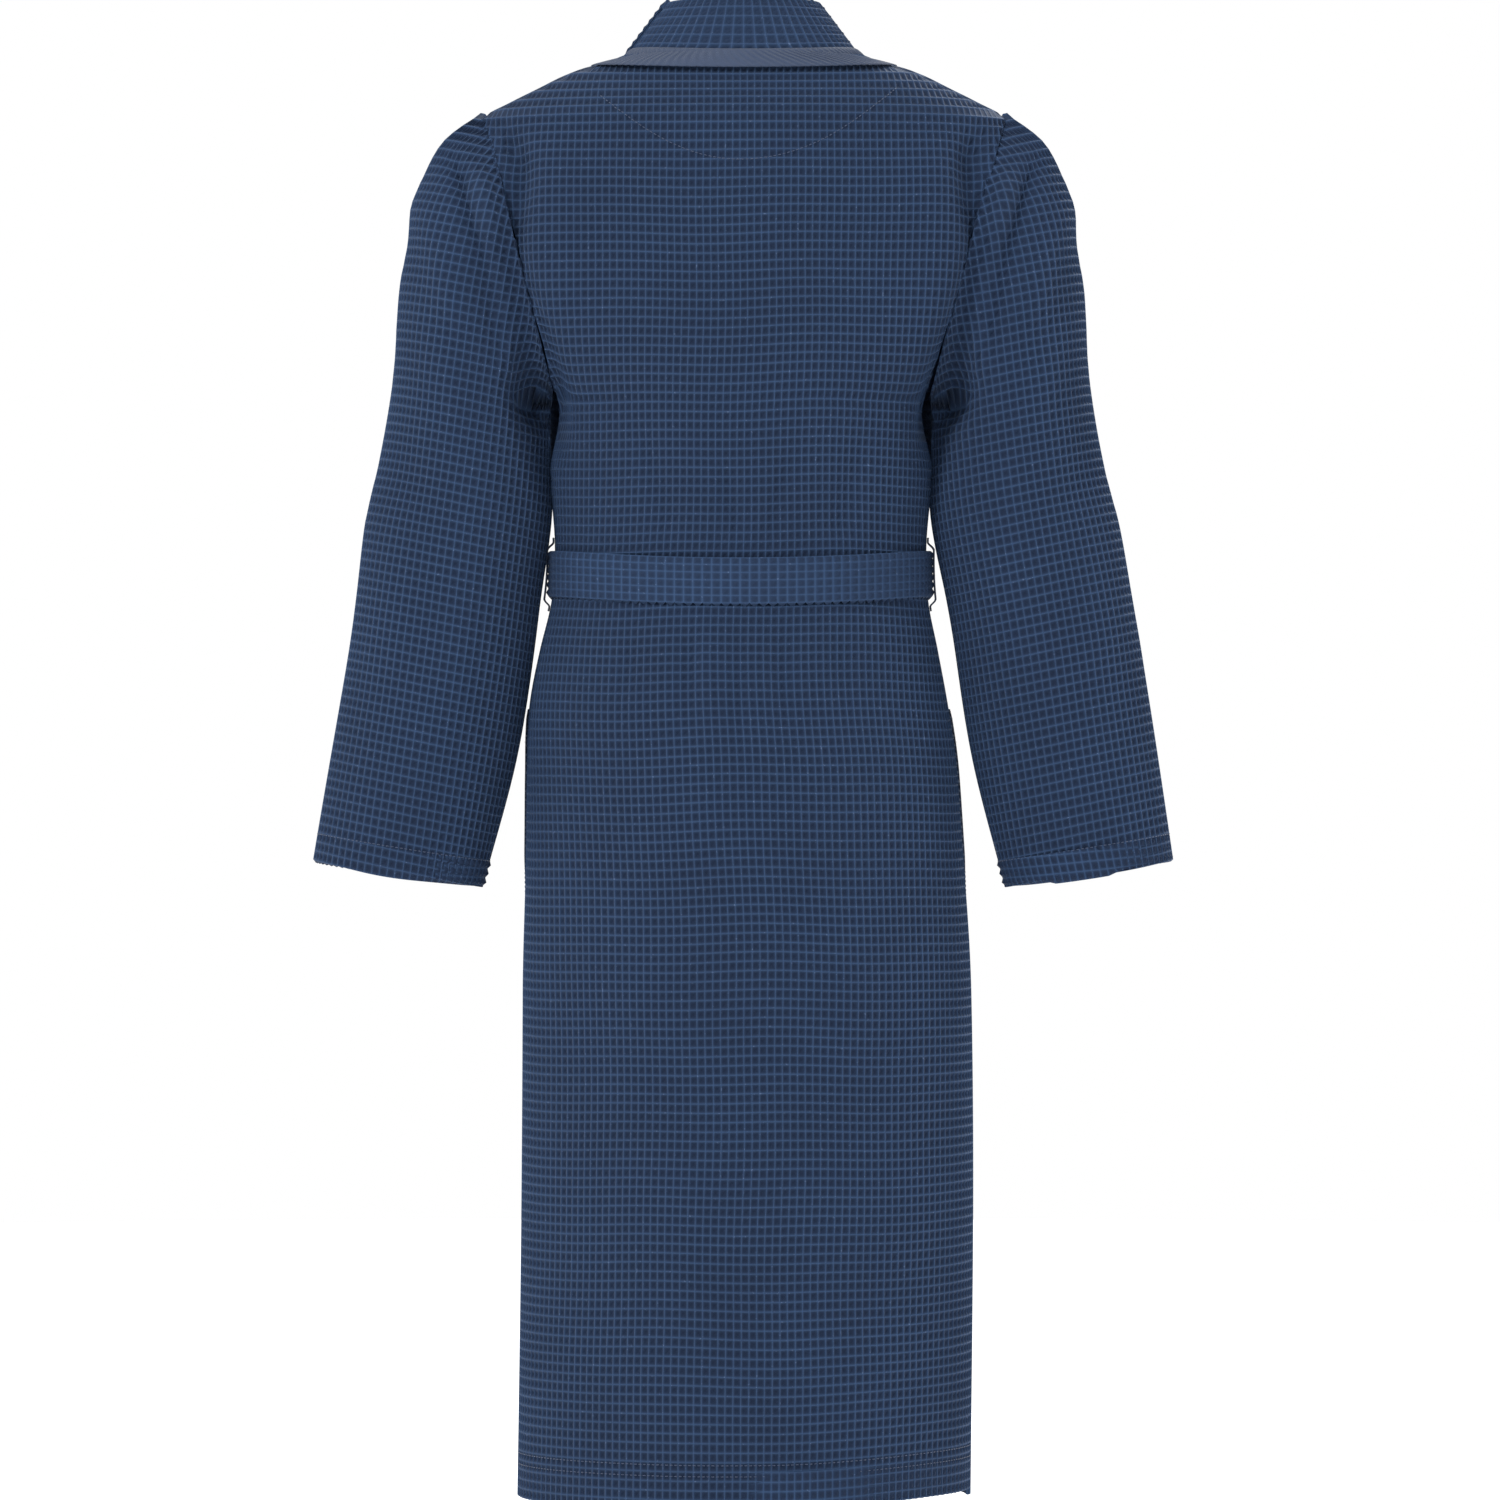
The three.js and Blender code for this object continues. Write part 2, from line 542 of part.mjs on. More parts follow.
for (const [side, sign] of Object.entries(SIDES)) {
  const middle = (v) => outerEdge(v).add(innerEdge(v)).multiplyScalar(0.5);
  const mirror = (point) => point.set(point.x * sign, point.y, point.z);
  const sleeve = new Cloth(
    steps(20),
    sleeveRows,
    (u, v) => {
      const turn = 360 * u;
      const point = innerEdge(v).lerp(outerEdge(v), (1 + cosd(turn)) / 2);
      const atArmhole = armholeDepth(lerp(UNDERARM_Z, SHOULDER_Z, (1 + cosd(turn)) / 2)) * Math.sign(sind(turn));
      point.y = lerp(atArmhole, sleeveDepth(v) * sind(turn), THREE.MathUtils.smoothstep(v, 0, 0.3));
      return mirror(point);
    },
    (point, v) => mirror(middle(v)),
  );
  add(`sleeve_${side}`, sleeve.ring([0, 1], flat(-halfCloth), flat(halfCloth)));
  const cuffRow = sleeveRows.at(-2);
  add(`cuff_hem_${side}`, sleeve.ring([cuffRow, 1], flat(insideOut - FACING), flat(insideOut)));
}

// ---- Belt ------------------------------------------------------------------------------
const beltMiddle = (angle) => BELT_Z - BELT_SAG * Math.max(cosd(angle), 0) ** 2;
const beltCloth = new Cloth(steps(36), steps(1), (u, v) => {
  const angle = 360 * u;
  return onForm(angle, beltMiddle(angle) + (v - 0.5) * BELT_WIDTH);
});
/** The belt's inner face clears the single back, and the overlapped fronts. */
const beltInner = (u) => {
  const toFront = THREE.MathUtils.smoothstep(-cosd(360 * u), -0.1, 0.45);
  return lerp(halfCloth + LOOSE_GAP, WRAP_LIFT + BAND_THICKNESS / 2 + 1.4, toFront);
};
add('belt_wrap', beltCloth.ring([0, 1], beltInner, (u) => beltInner(u) + BELT_THICKNESS));

for (const [side, sign] of Object.entries(SIDES)) {
  const reach = BELT_WIDTH / 2 + LOOP_SPARE;
  const halfTurn = THREE.MathUtils.radToDeg(LOOP_WIDTH / 2 / WAIST_HALF_DEPTH);
  const loop = new Cloth(steps(2), [0, 0.12, 0.22, 0.78, 0.88, 1], (u, v) => {
    const angle = sign * (90 + lerp(-1, 1, u) * halfTurn);
    return onForm(angle, BELT_Z + lerp(-reach, reach, v));
  });
  const overBelt = halfCloth + LOOSE_GAP + BELT_THICKNESS + 1.6 * LOOSE_GAP;
  const onCloth = halfCloth + LOOSE_GAP;
  const loopLift = (v) => lerp(overBelt, onCloth, THREE.MathUtils.smoothstep(Math.abs(v - 0.5), 0.3, 0.45));
  add(
    `belt_loop_${side}`,
    loop.layer([0, 1], [0, 1], (u, v) => loopLift(v), (u, v) => loopLift(v) + TAPE),
    NAVY_TRIM,
  );
}

const beltFace = WAIST_HALF_DEPTH + beltInner(0.5) + BELT_THICKNESS;
/** The knot: a plump rounded block in front of the belt. */
function knot() {
  const roundness = 8;
  const [width, height] = [KNOT_WIDTH / 2 - roundness, KNOT_HEIGHT / 2 - roundness];
  const outline = new THREE.Shape();
  outline.moveTo(-width, -height);
  outline.lineTo(width, -height);
  outline.lineTo(width, height);
  outline.lineTo(-width, height);
  outline.closePath();
  const geometry = new THREE.ExtrudeGeometry(outline, {
    depth: KNOT_DEPTH - 2 * roundness,
    bevelThickness: roundness,
    bevelSize: roundness,
    bevelSegments: 3,
  });
  geometry.rotateX(Math.PI / 2);
  geometry.translate(0, KNOT_DEPTH / 2 - roundness, 0);
  return geometry;
}

const knotMesh = add('belt_knot', knot());
knotMesh.position.set(0, -(beltFace + LOOSE_GAP + KNOT_DEPTH / 2), BELT_Z);

const TAIL_TOP_Z = BELT_Z - KNOT_HEIGHT / 2 - JOINT_GAP;
const TAIL_FROM_CENTRE = BELT_WIDTH / 2 + 1.5;
for (const [side, sign] of Object.entries(SIDES)) {
  const frontFace = (z) => -(frontDepth(z) + WRAP_LIFT + BAND_THICKNESS / 2);
  const clear = beltFace + BELT_THICKNESS + 2;
  const tail = new Cloth(
    steps(2),
    steps(8),
    (u, v) => {
      const z = TAIL_TOP_Z - v * TAIL_LENGTH;
      const x = sign * (TAIL_FROM_CENTRE + v * TAIL_SPLAY) + lerp(-0.5, 0.5, u) * BELT_WIDTH;
      return new THREE.Vector3(x, Math.min(-clear, frontFace(z) - BELT_THICKNESS - 1), z);
    },
  );
  const half = BELT_THICKNESS / 2;
  add(`belt_tail_${side}`, tail.layer([0, 1], [0, 1], flat(-half), flat(half)));
}

// ---- Origin: the middle of the hanger loop's underside --------------------------------------
const HANGER_Y = hangerBack(HANGER_FOOT_Z) + hangerLean * (HANGER_HEIGHT - TAPE) - HANGER_TAPE / 2;
robe.position.set(0, -HANGER_Y, -HANGER_UNDER_Z);

export default robe;
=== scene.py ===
"""A navy hotel bathrobe in waffle cloth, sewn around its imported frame.

Every cut of cloth is a grid of waffle cells in its own flat pattern, trimmed to its outline and
draped on the hanging shape of the robe. Lengths are metres. Heights on the robe are counted from
the hem, and depths from the plane of the side seams; Robe.place() turns both into the frame.
"""

import json
import logging
import math
from dataclasses import dataclass, field
from enum import Enum
from functools import partial
from typing import Callable, ClassVar, Optional, Sequence

import bmesh
import bpy
import numpy as np
from mathutils import Matrix, Vector

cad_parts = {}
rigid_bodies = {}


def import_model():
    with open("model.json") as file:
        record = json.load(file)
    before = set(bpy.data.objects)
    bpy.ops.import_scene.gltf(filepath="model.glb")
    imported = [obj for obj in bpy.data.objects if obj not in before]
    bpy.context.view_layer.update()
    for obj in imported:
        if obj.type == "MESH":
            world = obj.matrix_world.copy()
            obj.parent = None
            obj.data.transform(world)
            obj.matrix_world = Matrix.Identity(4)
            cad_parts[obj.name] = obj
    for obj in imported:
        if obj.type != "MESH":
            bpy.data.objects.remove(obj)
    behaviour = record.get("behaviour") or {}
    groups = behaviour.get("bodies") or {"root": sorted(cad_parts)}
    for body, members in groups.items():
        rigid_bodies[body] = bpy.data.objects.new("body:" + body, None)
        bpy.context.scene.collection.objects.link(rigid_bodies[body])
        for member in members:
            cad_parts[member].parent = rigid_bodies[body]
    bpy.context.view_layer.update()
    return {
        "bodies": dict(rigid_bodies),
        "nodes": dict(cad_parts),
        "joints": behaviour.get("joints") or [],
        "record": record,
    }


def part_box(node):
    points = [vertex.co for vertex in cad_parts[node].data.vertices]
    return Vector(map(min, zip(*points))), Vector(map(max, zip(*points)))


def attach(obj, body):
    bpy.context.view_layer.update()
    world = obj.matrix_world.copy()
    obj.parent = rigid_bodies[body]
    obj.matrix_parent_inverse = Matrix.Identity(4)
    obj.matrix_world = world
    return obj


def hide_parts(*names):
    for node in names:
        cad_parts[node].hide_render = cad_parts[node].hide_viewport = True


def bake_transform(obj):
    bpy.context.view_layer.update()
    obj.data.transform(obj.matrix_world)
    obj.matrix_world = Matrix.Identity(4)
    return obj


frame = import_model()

log = logging.getLogger("bathrobe")

Array = np.ndarray
Knots = Sequence[tuple[float, float]]
Path = Sequence[tuple[float, float]]


class Side(Enum):
    """The wearer's left or right, with its sign along X."""

    LEFT = 1
    RIGHT = -1

    @property
    def word(self) -> str:
        """The side's name, as the frame's nodes spell it."""
        return self.name.lower()


class Wall(Enum):
    """The back or the front of the body, with its sign along Y."""

    BACK = 1
    FRONT = -1


def smoothstep(low: float, high: float, value: Array) -> Array:
    """A smooth rise from 0 at low to 1 at high."""
    t = np.clip((value - low) / (high - low), 0.0, 1.0)
    return t * t * (3.0 - 2.0 * t)


def through(knots: Knots) -> Callable[[Array], Array]:
    """Makes a smooth curve through given knots.

    Args:
        knots: (position, value) pairs in rising order.

    Returns:
        A function of an array of positions.
    """
    places, values = (np.array(row, float) for row in zip(*knots))
    slopes = np.empty_like(values)
    slopes[1:-1] = (values[2:] - values[:-2]) / (places[2:] - places[:-2])
    slopes[0] = (values[1] - values[0]) / (places[1] - places[0])
    slopes[-1] = (values[-1] - values[-2]) / (places[-1] - places[-2])

    def curve(position: Array) -> Array:
        """The curve's value at each position."""
        x = np.clip(np.asarray(position, float), places[0], places[-1])
        i = np.clip(np.searchsorted(places, x, side="right") - 1, 0, len(places) - 2)
        step = places[i + 1] - places[i]
        t = (x - places[i]) / step
        rise = (1 - t) ** 2 * t * step * slopes[i] - (1 - t) * t * t * step * slopes[i + 1]
        return values[i] + (values[i + 1] - values[i]) * t * t * (3 - 2 * t) + rise

    return curve


class RingTable:
    """Arc lengths round a row of half ellipses, from the point at angle 0."""

    FRACTIONS = 161

    def __init__(self, levels: Array, widths: Array, depths: Array, span: float) -> None:
        """Measures every ellipse.

        Args:
            levels: rising places of the ellipses.
            widths: half width of each, reached at a quarter turn.
            depths: half depth of each, reached at angle 0.
            span: the last angle, in radians.
        """
        self.levels = levels
        angles = np.linspace(0.0, span, self.FRACTIONS)
        middle = 0.5 * (angles[1:] + angles[:-1])
        speed = np.hypot(widths[:, None] * np.cos(middle), depths[:, None] * np.sin(middle))
        steps = speed * (angles[1] - angles[0])
        arcs = np.concatenate([np.zeros((len(levels), 1)), np.cumsum(steps, axis=1)], axis=1)
        self.span = span
        self.total = arcs[:, -1]
        self._arcs = arcs
        shares = np.linspace(0.0, 1.0, self.FRACTIONS)
        self._angles = np.array([np.interp(shares * row[-1], row, angles) for row in arcs])

    def _look_up(self, table: Array, level: Array, share: Array) -> Array:
        """Reads a table between its rows and columns."""
        row = np.interp(level, self.levels, np.arange(len(self.levels)))
        i = np.clip(row.astype(int), 0, len(self.levels) - 2)
        column = np.clip(share, 0.0, 1.0) * (self.FRACTIONS - 1)
        j = np.clip(column.astype(int), 0, self.FRACTIONS - 2)
        s, t = row - i, column - j
        low = table[i, j] * (1 - t) + table[i, j + 1] * t
        high = table[i + 1, j] * (1 - t) + table[i + 1, j + 1] * t
        return low * (1 - s) + high * s

    def angle(self, level: Array, arc: Array) -> Array:
        """The signed angle of a point at a signed arc length."""
        share = np.abs(arc) / np.interp(level, self.levels, self.total)
        return np.sign(arc) * self._look_up(self._angles, level, share)

    def arc(self, level: Array, angle: Array) -> Array:
        """The signed arc length of a point at a signed angle."""
        return np.sign(angle) * self._look_up(self._arcs, level, np.abs(angle) / self.span)


@dataclass(frozen=True)
class Crease:
    """One soft fold: a raised or sunk line on the cloth.

    Attributes:
        path: (x, height) points that it runs through.
        rise: how far it stands out, or sinks when negative.
        reach: its width from the middle to where it has died away.
        tail: the share of its length over which it dies away at each end.
    """

    path: tuple[tuple[float, float], ...]
    rise: float
    reach: float
    tail: float = 0.3

    def lift(self, x: Array, z: Array) -> Array:
        """How far the fold lifts each point."""
        ends = np.arange(len(self.path))
        places = np.linspace(0, len(self.path) - 1, 40)
        line_x = through(list(zip(ends, (p[0] for p in self.path))))(places)
        line_z = through(list(zip(ends, (p[1] for p in self.path))))(places)
        gap = np.hypot(x[:, None] - line_x, z[:, None] - line_z)
        nearest = gap.argmin(axis=1)
        along = nearest / (len(places) - 1)
        fade = smoothstep(0, self.tail, along) * smoothstep(0, self.tail, 1 - along)
        distance = gap[np.arange(len(x)), nearest]
        return self.rise * fade * np.exp(-((distance / (0.5 * self.reach)) ** 2))


class Robe:
    """The hanging shape of the robe: sections at each height, and the frame that holds them."""

    def __init__(self) -> None:
        """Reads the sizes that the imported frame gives, and lays out the sections."""
        back_low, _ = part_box("back_panel")
        loop_low, loop_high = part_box("belt_loop_left")
        _, collar_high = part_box("collar_band_back")
        self.hem_z = back_low[2]
        self.seam_y = 0.5 * (loop_low[1] + loop_high[1])
        self.collar = collar_high[2] - self.hem_z
        self.neck = self.collar - 0.045
        self.shoulder = self.neck - 0.049
        self.underarm = self.shoulder - 0.240
        self.belt = 0.766
        self.waist_depth = 0.103
        self.shoulder_half = 0.216
        self.underarm_half = 0.161
        self.neck_half = 0.095
        self.neck_taper = 0.034
        self.neck_dip = 0.007
        self.armhole_bulge = 0.062
        self.shift = through([(0, 0), (0.25, -0.0028), (0.45, -0.0022), (0.6, 0.0015), (0.665, 0.0045),
                               (0.766, 0.003), (0.9, 0.002), (1.146, 0.0), (1.24, 0.0)])
        self._side = through([(0, 0.187), (0.42, 0.185), (0.54, 0.180), (0.62, 0.1765), (0.661, 0.172),
                              (0.703, 0.164), (0.745, 0.155), (0.79, 0.153), (0.84, 0.157), (0.906, 0.161)])
        self._top = through([(1.146, 0.216), (1.168, 0.1725), (1.1852, 0.135), (1.195, 0.095)])
        self._back = through([(0, 0.127), (0.46, 0.125), (0.66, 0.117), (0.745, 0.103), (0.787, 0.103),
                              (0.966, 0.109), (1.096, 0.098), (1.146, 0.085), (1.195, 0.062), (1.24, 0.052)])
        self._front = through([(0, 0.127), (0.46, 0.123), (0.66, 0.116), (0.745, 0.103), (0.787, 0.103),
                               (0.966, 0.111), (1.096, 0.093), (1.146, 0.073), (1.195, 0.056), (1.24, 0.050)])
        levels = np.linspace(0.0, self.collar, 260)
        widths = self.half_width(levels)
        quarter = math.pi / 2
        self.rings = {
            wall: RingTable(levels, widths, self.depth(wall, levels), quarter) for wall in Wall
        }

    def armhole_share(self, z: Array) -> Array:
        """How far up the armhole a height is, from 0 at the underarm to 1 at the shoulder."""
        return np.clip((z - self.underarm) / (self.shoulder - self.underarm), 0.0, 1.0)

    def armhole_x(self, z: Array) -> Array:
        """The armhole line's distance from the centre plane."""
        share = self.armhole_share(z)
        return self.underarm_half + (self.shoulder_half - self.underarm_half) * share

    def half_width(self, z: Array) -> Array:
        """Half the width of the section at a height, where the body went on past the armholes."""
        z = np.asarray(z, float)
        bulge = self.armhole_bulge * np.sin(math.pi * self.armhole_share(z))
        width = np.where(z <= self.underarm, self._side(z), self.armhole_x(z) + bulge)
        width = np.where(z >= self.shoulder, self._top(z), width)
        neck = self.neck_half - self.neck_taper * (z - self.neck) / (self.collar - self.neck)
        return np.where(z >= self.neck, neck, width)

    def depth(self, wall: Wall, z: Array) -> Array:
        """Half the depth of the section at a height, at the back or at the front."""
        return self._back(z) if wall is Wall.BACK else self._front(z)

    def seam_angle(self, z: Array) -> Array:
        """The angle of the side seam, the armhole or the shoulder seam at a height."""
        inside = (z > self.underarm) & (z < self.shoulder)
        share = np.where(inside, self.armhole_x(z) / self.half_width(z), 1.0)
        return np.arcsin(np.clip(share, 0.0, 1.0))

    def on_wall(self, wall: Wall, angle: Array, z: Array, lift: Array | float = 0.0) -> Array:
        """Points on or off the back or the front.

        Args:
            wall: which of the two.
            angle: from the centre line, in radians, positive to the wearer's left.
            z: heights above the hem.
            lift: how far out of the section they stand.

        Returns:
            An array of points, one row each.
        """
        width, depth = self.half_width(z), self.depth(wall, z)
        out_x, out_y = depth * np.sin(angle), width * np.cos(angle)
        scale = lift / np.hypot(out_x, out_y)
        x = width * np.sin(angle) + out_x * scale + self.shift(z)
        y = wall.value * (depth * np.cos(angle) + out_y * scale)
        return np.stack([x, y, z + 0 * x], axis=1)

    def angle_at(self, x: Array, z: Array) -> Array:
        """The angle from the centre line of a point that lies x off the centre plane."""
        return np.arcsin(np.clip(x / self.half_width(z), -1.0, 1.0))

    def neck_seam(self, angle: Array) -> Array:
        """The height of the back neck seam, which dips at the centre back."""
        return self.neck - self.neck_dip * np.cos(angle) ** 2

    def place(self, points: Array) -> Array:
        """Moves points from the robe's own heights and depths into the frame."""
        return points + np.array([0.0, self.seam_y, self.hem_z])


@dataclass
class Weave:
    """The waffle weave: the size of one cell and how deep its pit is."""

    across: float = 0.0063
    along: float = 0.00765
    pit: float = 0.0019

    def turned(self) -> "Weave":
        """The same cloth cut with its grain running the other way."""
        return Weave(self.along, self.across, self.pit)


WAFFLE = Weave()
FACING_WAFFLE = Weave(WAFFLE.across, WAFFLE.along, 0.0006)
LABEL_WEAVE = Weave(0.003, 0.003, 0.0)
TAPE_WEAVE = Weave(0.0015, 0.0015, 0.0)
BINDING_WEAVE = Weave(0.0007, 0.0011, 0.0)
ALLOWANCE_WEAVE = Weave(0.004, 0.006, 0.0002)
THICKNESS = 0.0018
THIN = 0.0012
FOLDED_LAYER = 0.0016
DRAPE_STEP = 0.0004
WELD_GAP = 2e-5
Surface = Callable[[Array, Array], Array]


@dataclass
class Cut:
    """One flat cut of waffle cloth and the way it hangs.

    Attributes:
        name: the finished piece's name.
        outline: the cut's outline as (across, along) corner points, in order.
        surface: maps places on the flat cut to points on the robe.
        weave: its waffle cells.
        relief: extra lift at each draped point, given the points.
        thickness: of the cloth; the outer face stays where the surface puts it.
        inverted: whether the surface turns the cloth over, so that its faces need flipping.
        weld: whether edges that the surface brings together are joined.
    """

    name: str
    outline: list[tuple[float, float]]
    surface: Surface
    weave: Weave = field(default_factory=Weave)
    relief: Optional[Callable[[Array], Array]] = None
    thickness: float = THICKNESS
    inverted: bool = False
    weld: bool = False

    def size(self) -> tuple[float, float]:
        """The width and length of the outline's box."""
        span = np.ptp(np.array(self.outline), axis=0)
        return float(span[0]), float(span[1])

    def build(self) -> bpy.types.Object:
        """Lays the cells out flat, trims them, drapes them and sinks the pits.

        Returns:
            The finished piece.
        """
        outline = np.array(self.outline)
        bm = bmesh.new()
        self._lay_out(bm, outline)
        self._trim(bm, outline)
        pits = bmesh.ops.poke(bm, faces=bm.faces[:], offset=0.0, center_mode="MEAN")["verts"]
        bm.verts.index_update()
        is_pit = np.zeros(len(bm.verts))
        is_pit[[vert.index for vert in pits]] = 1.0
        mesh = bpy.data.meshes.new(self.name)
        bm.to_mesh(mesh)
        bm.free()
        count = len(mesh.vertices)
        flat = np.empty(count * 3)
        mesh.vertices.foreach_get("co", flat)
        flat = flat.reshape(-1, 3)
        self._write_weave(mesh, flat)
        points = self.drape(flat[:, 0], flat[:, 1], -self.weave.pit * is_pit)
        mesh.vertices.foreach_set("co", points.ravel())
        mesh.update()
        piece = bpy.data.objects.new(self.name, mesh)
        bpy.context.collection.objects.link(piece)
        if self.weld:
            weld(mesh)
        if self.inverted:
            mesh.flip_normals()
        if self.weave.pit == 0.0:
            mesh.polygons.foreach_set("use_smooth", np.ones(len(mesh.polygons), bool))
        if self.thickness > 0:
            solid = piece.modifiers.new("thickness", "SOLIDIFY")
            solid.thickness = self.thickness
            solid.offset = -1.0
        return piece

    def _lay_out(self, bm: bmesh.types.BMesh, outline: Array) -> None:
        """Makes a grid of cells that covers the outline."""
        low, high = outline.min(axis=0), outline.max(axis=0)
        pitch = np.array([self.weave.across, self.weave.along])
        counts = np.maximum(np.ceil((high - low) / pitch - 0.35).astype(int), 1)
        centred = 0.5 * (low + high)
        extent = counts * pitch
        if self._nearly_fits(high - low, extent):
            extent = high - low
        bmesh.ops.create_grid(bm, x_segments=int(counts[0]), y_segments=int(counts[1]), size=0.5)
        self._corner = centred - 0.5 * extent
        self._cell = extent / counts
        size = Matrix.Diagonal((extent[0], extent[1], 1.0, 1.0))
        move = Matrix.Translation((centred[0], centred[1], 0.0))
        bmesh.ops.transform(bm, matrix=move @ size, verts=bm.verts[:])

    @staticmethod
    def _nearly_fits(wanted: Array, extent: Array) -> bool:
        """Whether whole cells fit the outline's box when they are stretched a little."""
        return bool(np.all(np.abs(extent - wanted) < 0.06 * wanted + 1e-6))

    @staticmethod
    def _trim(bm: bmesh.types.BMesh, outline: Array) -> None:
        """Drops the cells outside the outline and draws the cut edge onto it."""
        centres = np.array([f.calc_center_median()[:2] for f in bm.faces])
        outside = ~inside_polygon(centres, outline)
        faces = [f for f, out in zip(bm.faces, outside) if out]
        bmesh.ops.delete(bm, geom=faces, context="FACES")
        edge = [v for v in bm.verts if v.is_boundary]
        places = nearest_on_polygon(np.array([v.co[:2] for v in edge]), outline)
        for vert, (x, y) in zip(edge, places):
            vert.co.x = x
            vert.co.y = y
        bmesh.ops.dissolve_degenerate(bm, dist=1e-5, edges=bm.edges[:])

    def _write_weave(self, mesh: bpy.types.Mesh, flat: Array) -> None:
        """Stores each corner's place in the weave, counted in cells."""
        layer = mesh.uv_layers.new(name="weave")
        owner = np.empty(len(mesh.loops), int)
        mesh.loops.foreach_get("vertex_index", owner)
        cells = (flat[:, :2] - self._corner) / self._cell
        layer.data.foreach_set("uv", cells[owner].ravel())

    def drape(self, across: Array, along: Array, lift: Array | float = 0.0) -> Array:
        """Hangs flat points, lifted off the cloth's face along its own normal.

        Args:
            across: places on the flat cut.
            along: places on the flat cut.
            lift: how far off the face, below it when negative.

        Returns:
            The points in the frame.
        """
        points = self.surface(across, along)
        run = self.surface(across + DRAPE_STEP, along) - self.surface(across - DRAPE_STEP, along)
        climb = self.surface(across, along + DRAPE_STEP) - self.surface(across, along - DRAPE_STEP)
        normal = np.cross(run, climb)
        normal /= np.maximum(np.linalg.norm(normal, axis=1, keepdims=True), 1e-12)
        if self.inverted:
            normal = -normal
        folds = self.relief(points) if self.relief is not None else 0.0
        return ROBE.place(points + normal * np.atleast_1d(lift + folds)[:, None])


def inside_polygon(points: Array, outline: Array) -> Array:
    """Which points lie inside a closed outline."""
    inside = np.zeros(len(points), bool)
    x, y = points[:, 0], points[:, 1]
    for (x0, y0), (x1, y1) in zip(outline, np.roll(outline, -1, axis=0)):
        crosses = (y0 > y) != (y1 > y)
        if y0 != y1:
            inside ^= crosses & (x < (x1 - x0) * (y - y0) / (y1 - y0) + x0)
    return inside


def nearest_on_polygon(points: Array, outline: Array) -> Array:
    """The closest place on a closed outline to each point."""
    best = np.full(len(points), np.inf)
    found = points.copy()
    for start, end in zip(outline, np.roll(outline, -1, axis=0)):
        run = end - start
        length = float(run @ run)
        if length < 1e-14:
            continue
        share = np.clip(((points - start) @ run) / length, 0.0, 1.0)
        place = start + share[:, None] * run
        gap = ((place - points) ** 2).sum(axis=1)
        closer = gap < best
        best[closer] = gap[closer]
        found[closer] = place[closer]
    return found


def weld(mesh: bpy.types.Mesh, distance: float = WELD_GAP) -> None:
    """Joins the points of a mesh that fell together."""
    bm = bmesh.new()
    bm.from_mesh(mesh)
    bmesh.ops.remove_doubles(bm, verts=bm.verts[:], dist=distance)
    bm.to_mesh(mesh)
    bm.free()


ROBE = Robe()


# ---- Finishes ------------------------------------------------------------------------------
def linear(red: int, green: int, blue: int) -> tuple[float, float, float, float]:
    """Turns an 8-bit screen colour into linear light."""
    def channel(value: int) -> float:
        """One channel of it."""
        share = value / 255
        return share / 12.92 if share <= 0.04045 else ((share + 0.055) / 1.055) ** 2.4

    return channel(red), channel(green), channel(blue), 1.0


class Sock:
    """A node's output socket that Python's operators build shader maths on."""

    def __init__(self, graph: "Graph", socket: bpy.types.NodeSocket) -> None:
        """Wraps a socket of a graph."""
        self.graph = graph
        self.socket = socket

    def _math(self, operation: str, *values: "Sock | float") -> "Sock":
        """Adds a Math node."""
        return self.graph.node("ShaderNodeMath", {"operation": operation}, dict(enumerate(values)))

    def __add__(self, other: "Sock | float") -> "Sock":
        """The sum."""
        return self._math("ADD", self, other)

    __radd__ = __add__

    def __mul__(self, other: "Sock | float") -> "Sock":
        """The product."""
        return self._math("MULTIPLY", self, other)

    __rmul__ = __mul__

    def __sub__(self, other: "Sock | float") -> "Sock":
        """The difference."""
        return self._math("SUBTRACT", self, other)

    def __rsub__(self, other: float) -> "Sock":
        """A number less this."""
        return self._math("SUBTRACT", other, self)

    def __pow__(self, other: float) -> "Sock":
        """This to a power."""
        return self._math("POWER", self, other)

    def fraction(self) -> "Sock":
        """What is left after the whole number."""
        return self._math("FRACT", self)

    def sine(self) -> "Sock":
        """The sine of this many radians."""
        return self._math("SINE", self)

    def size(self) -> "Sock":
        """This without its sign."""
        return self._math("ABSOLUTE", self)

    def over(self, limit: float) -> "Sock":
        """1 where this is past a limit, else 0."""
        return self._math("GREATER_THAN", self, limit)


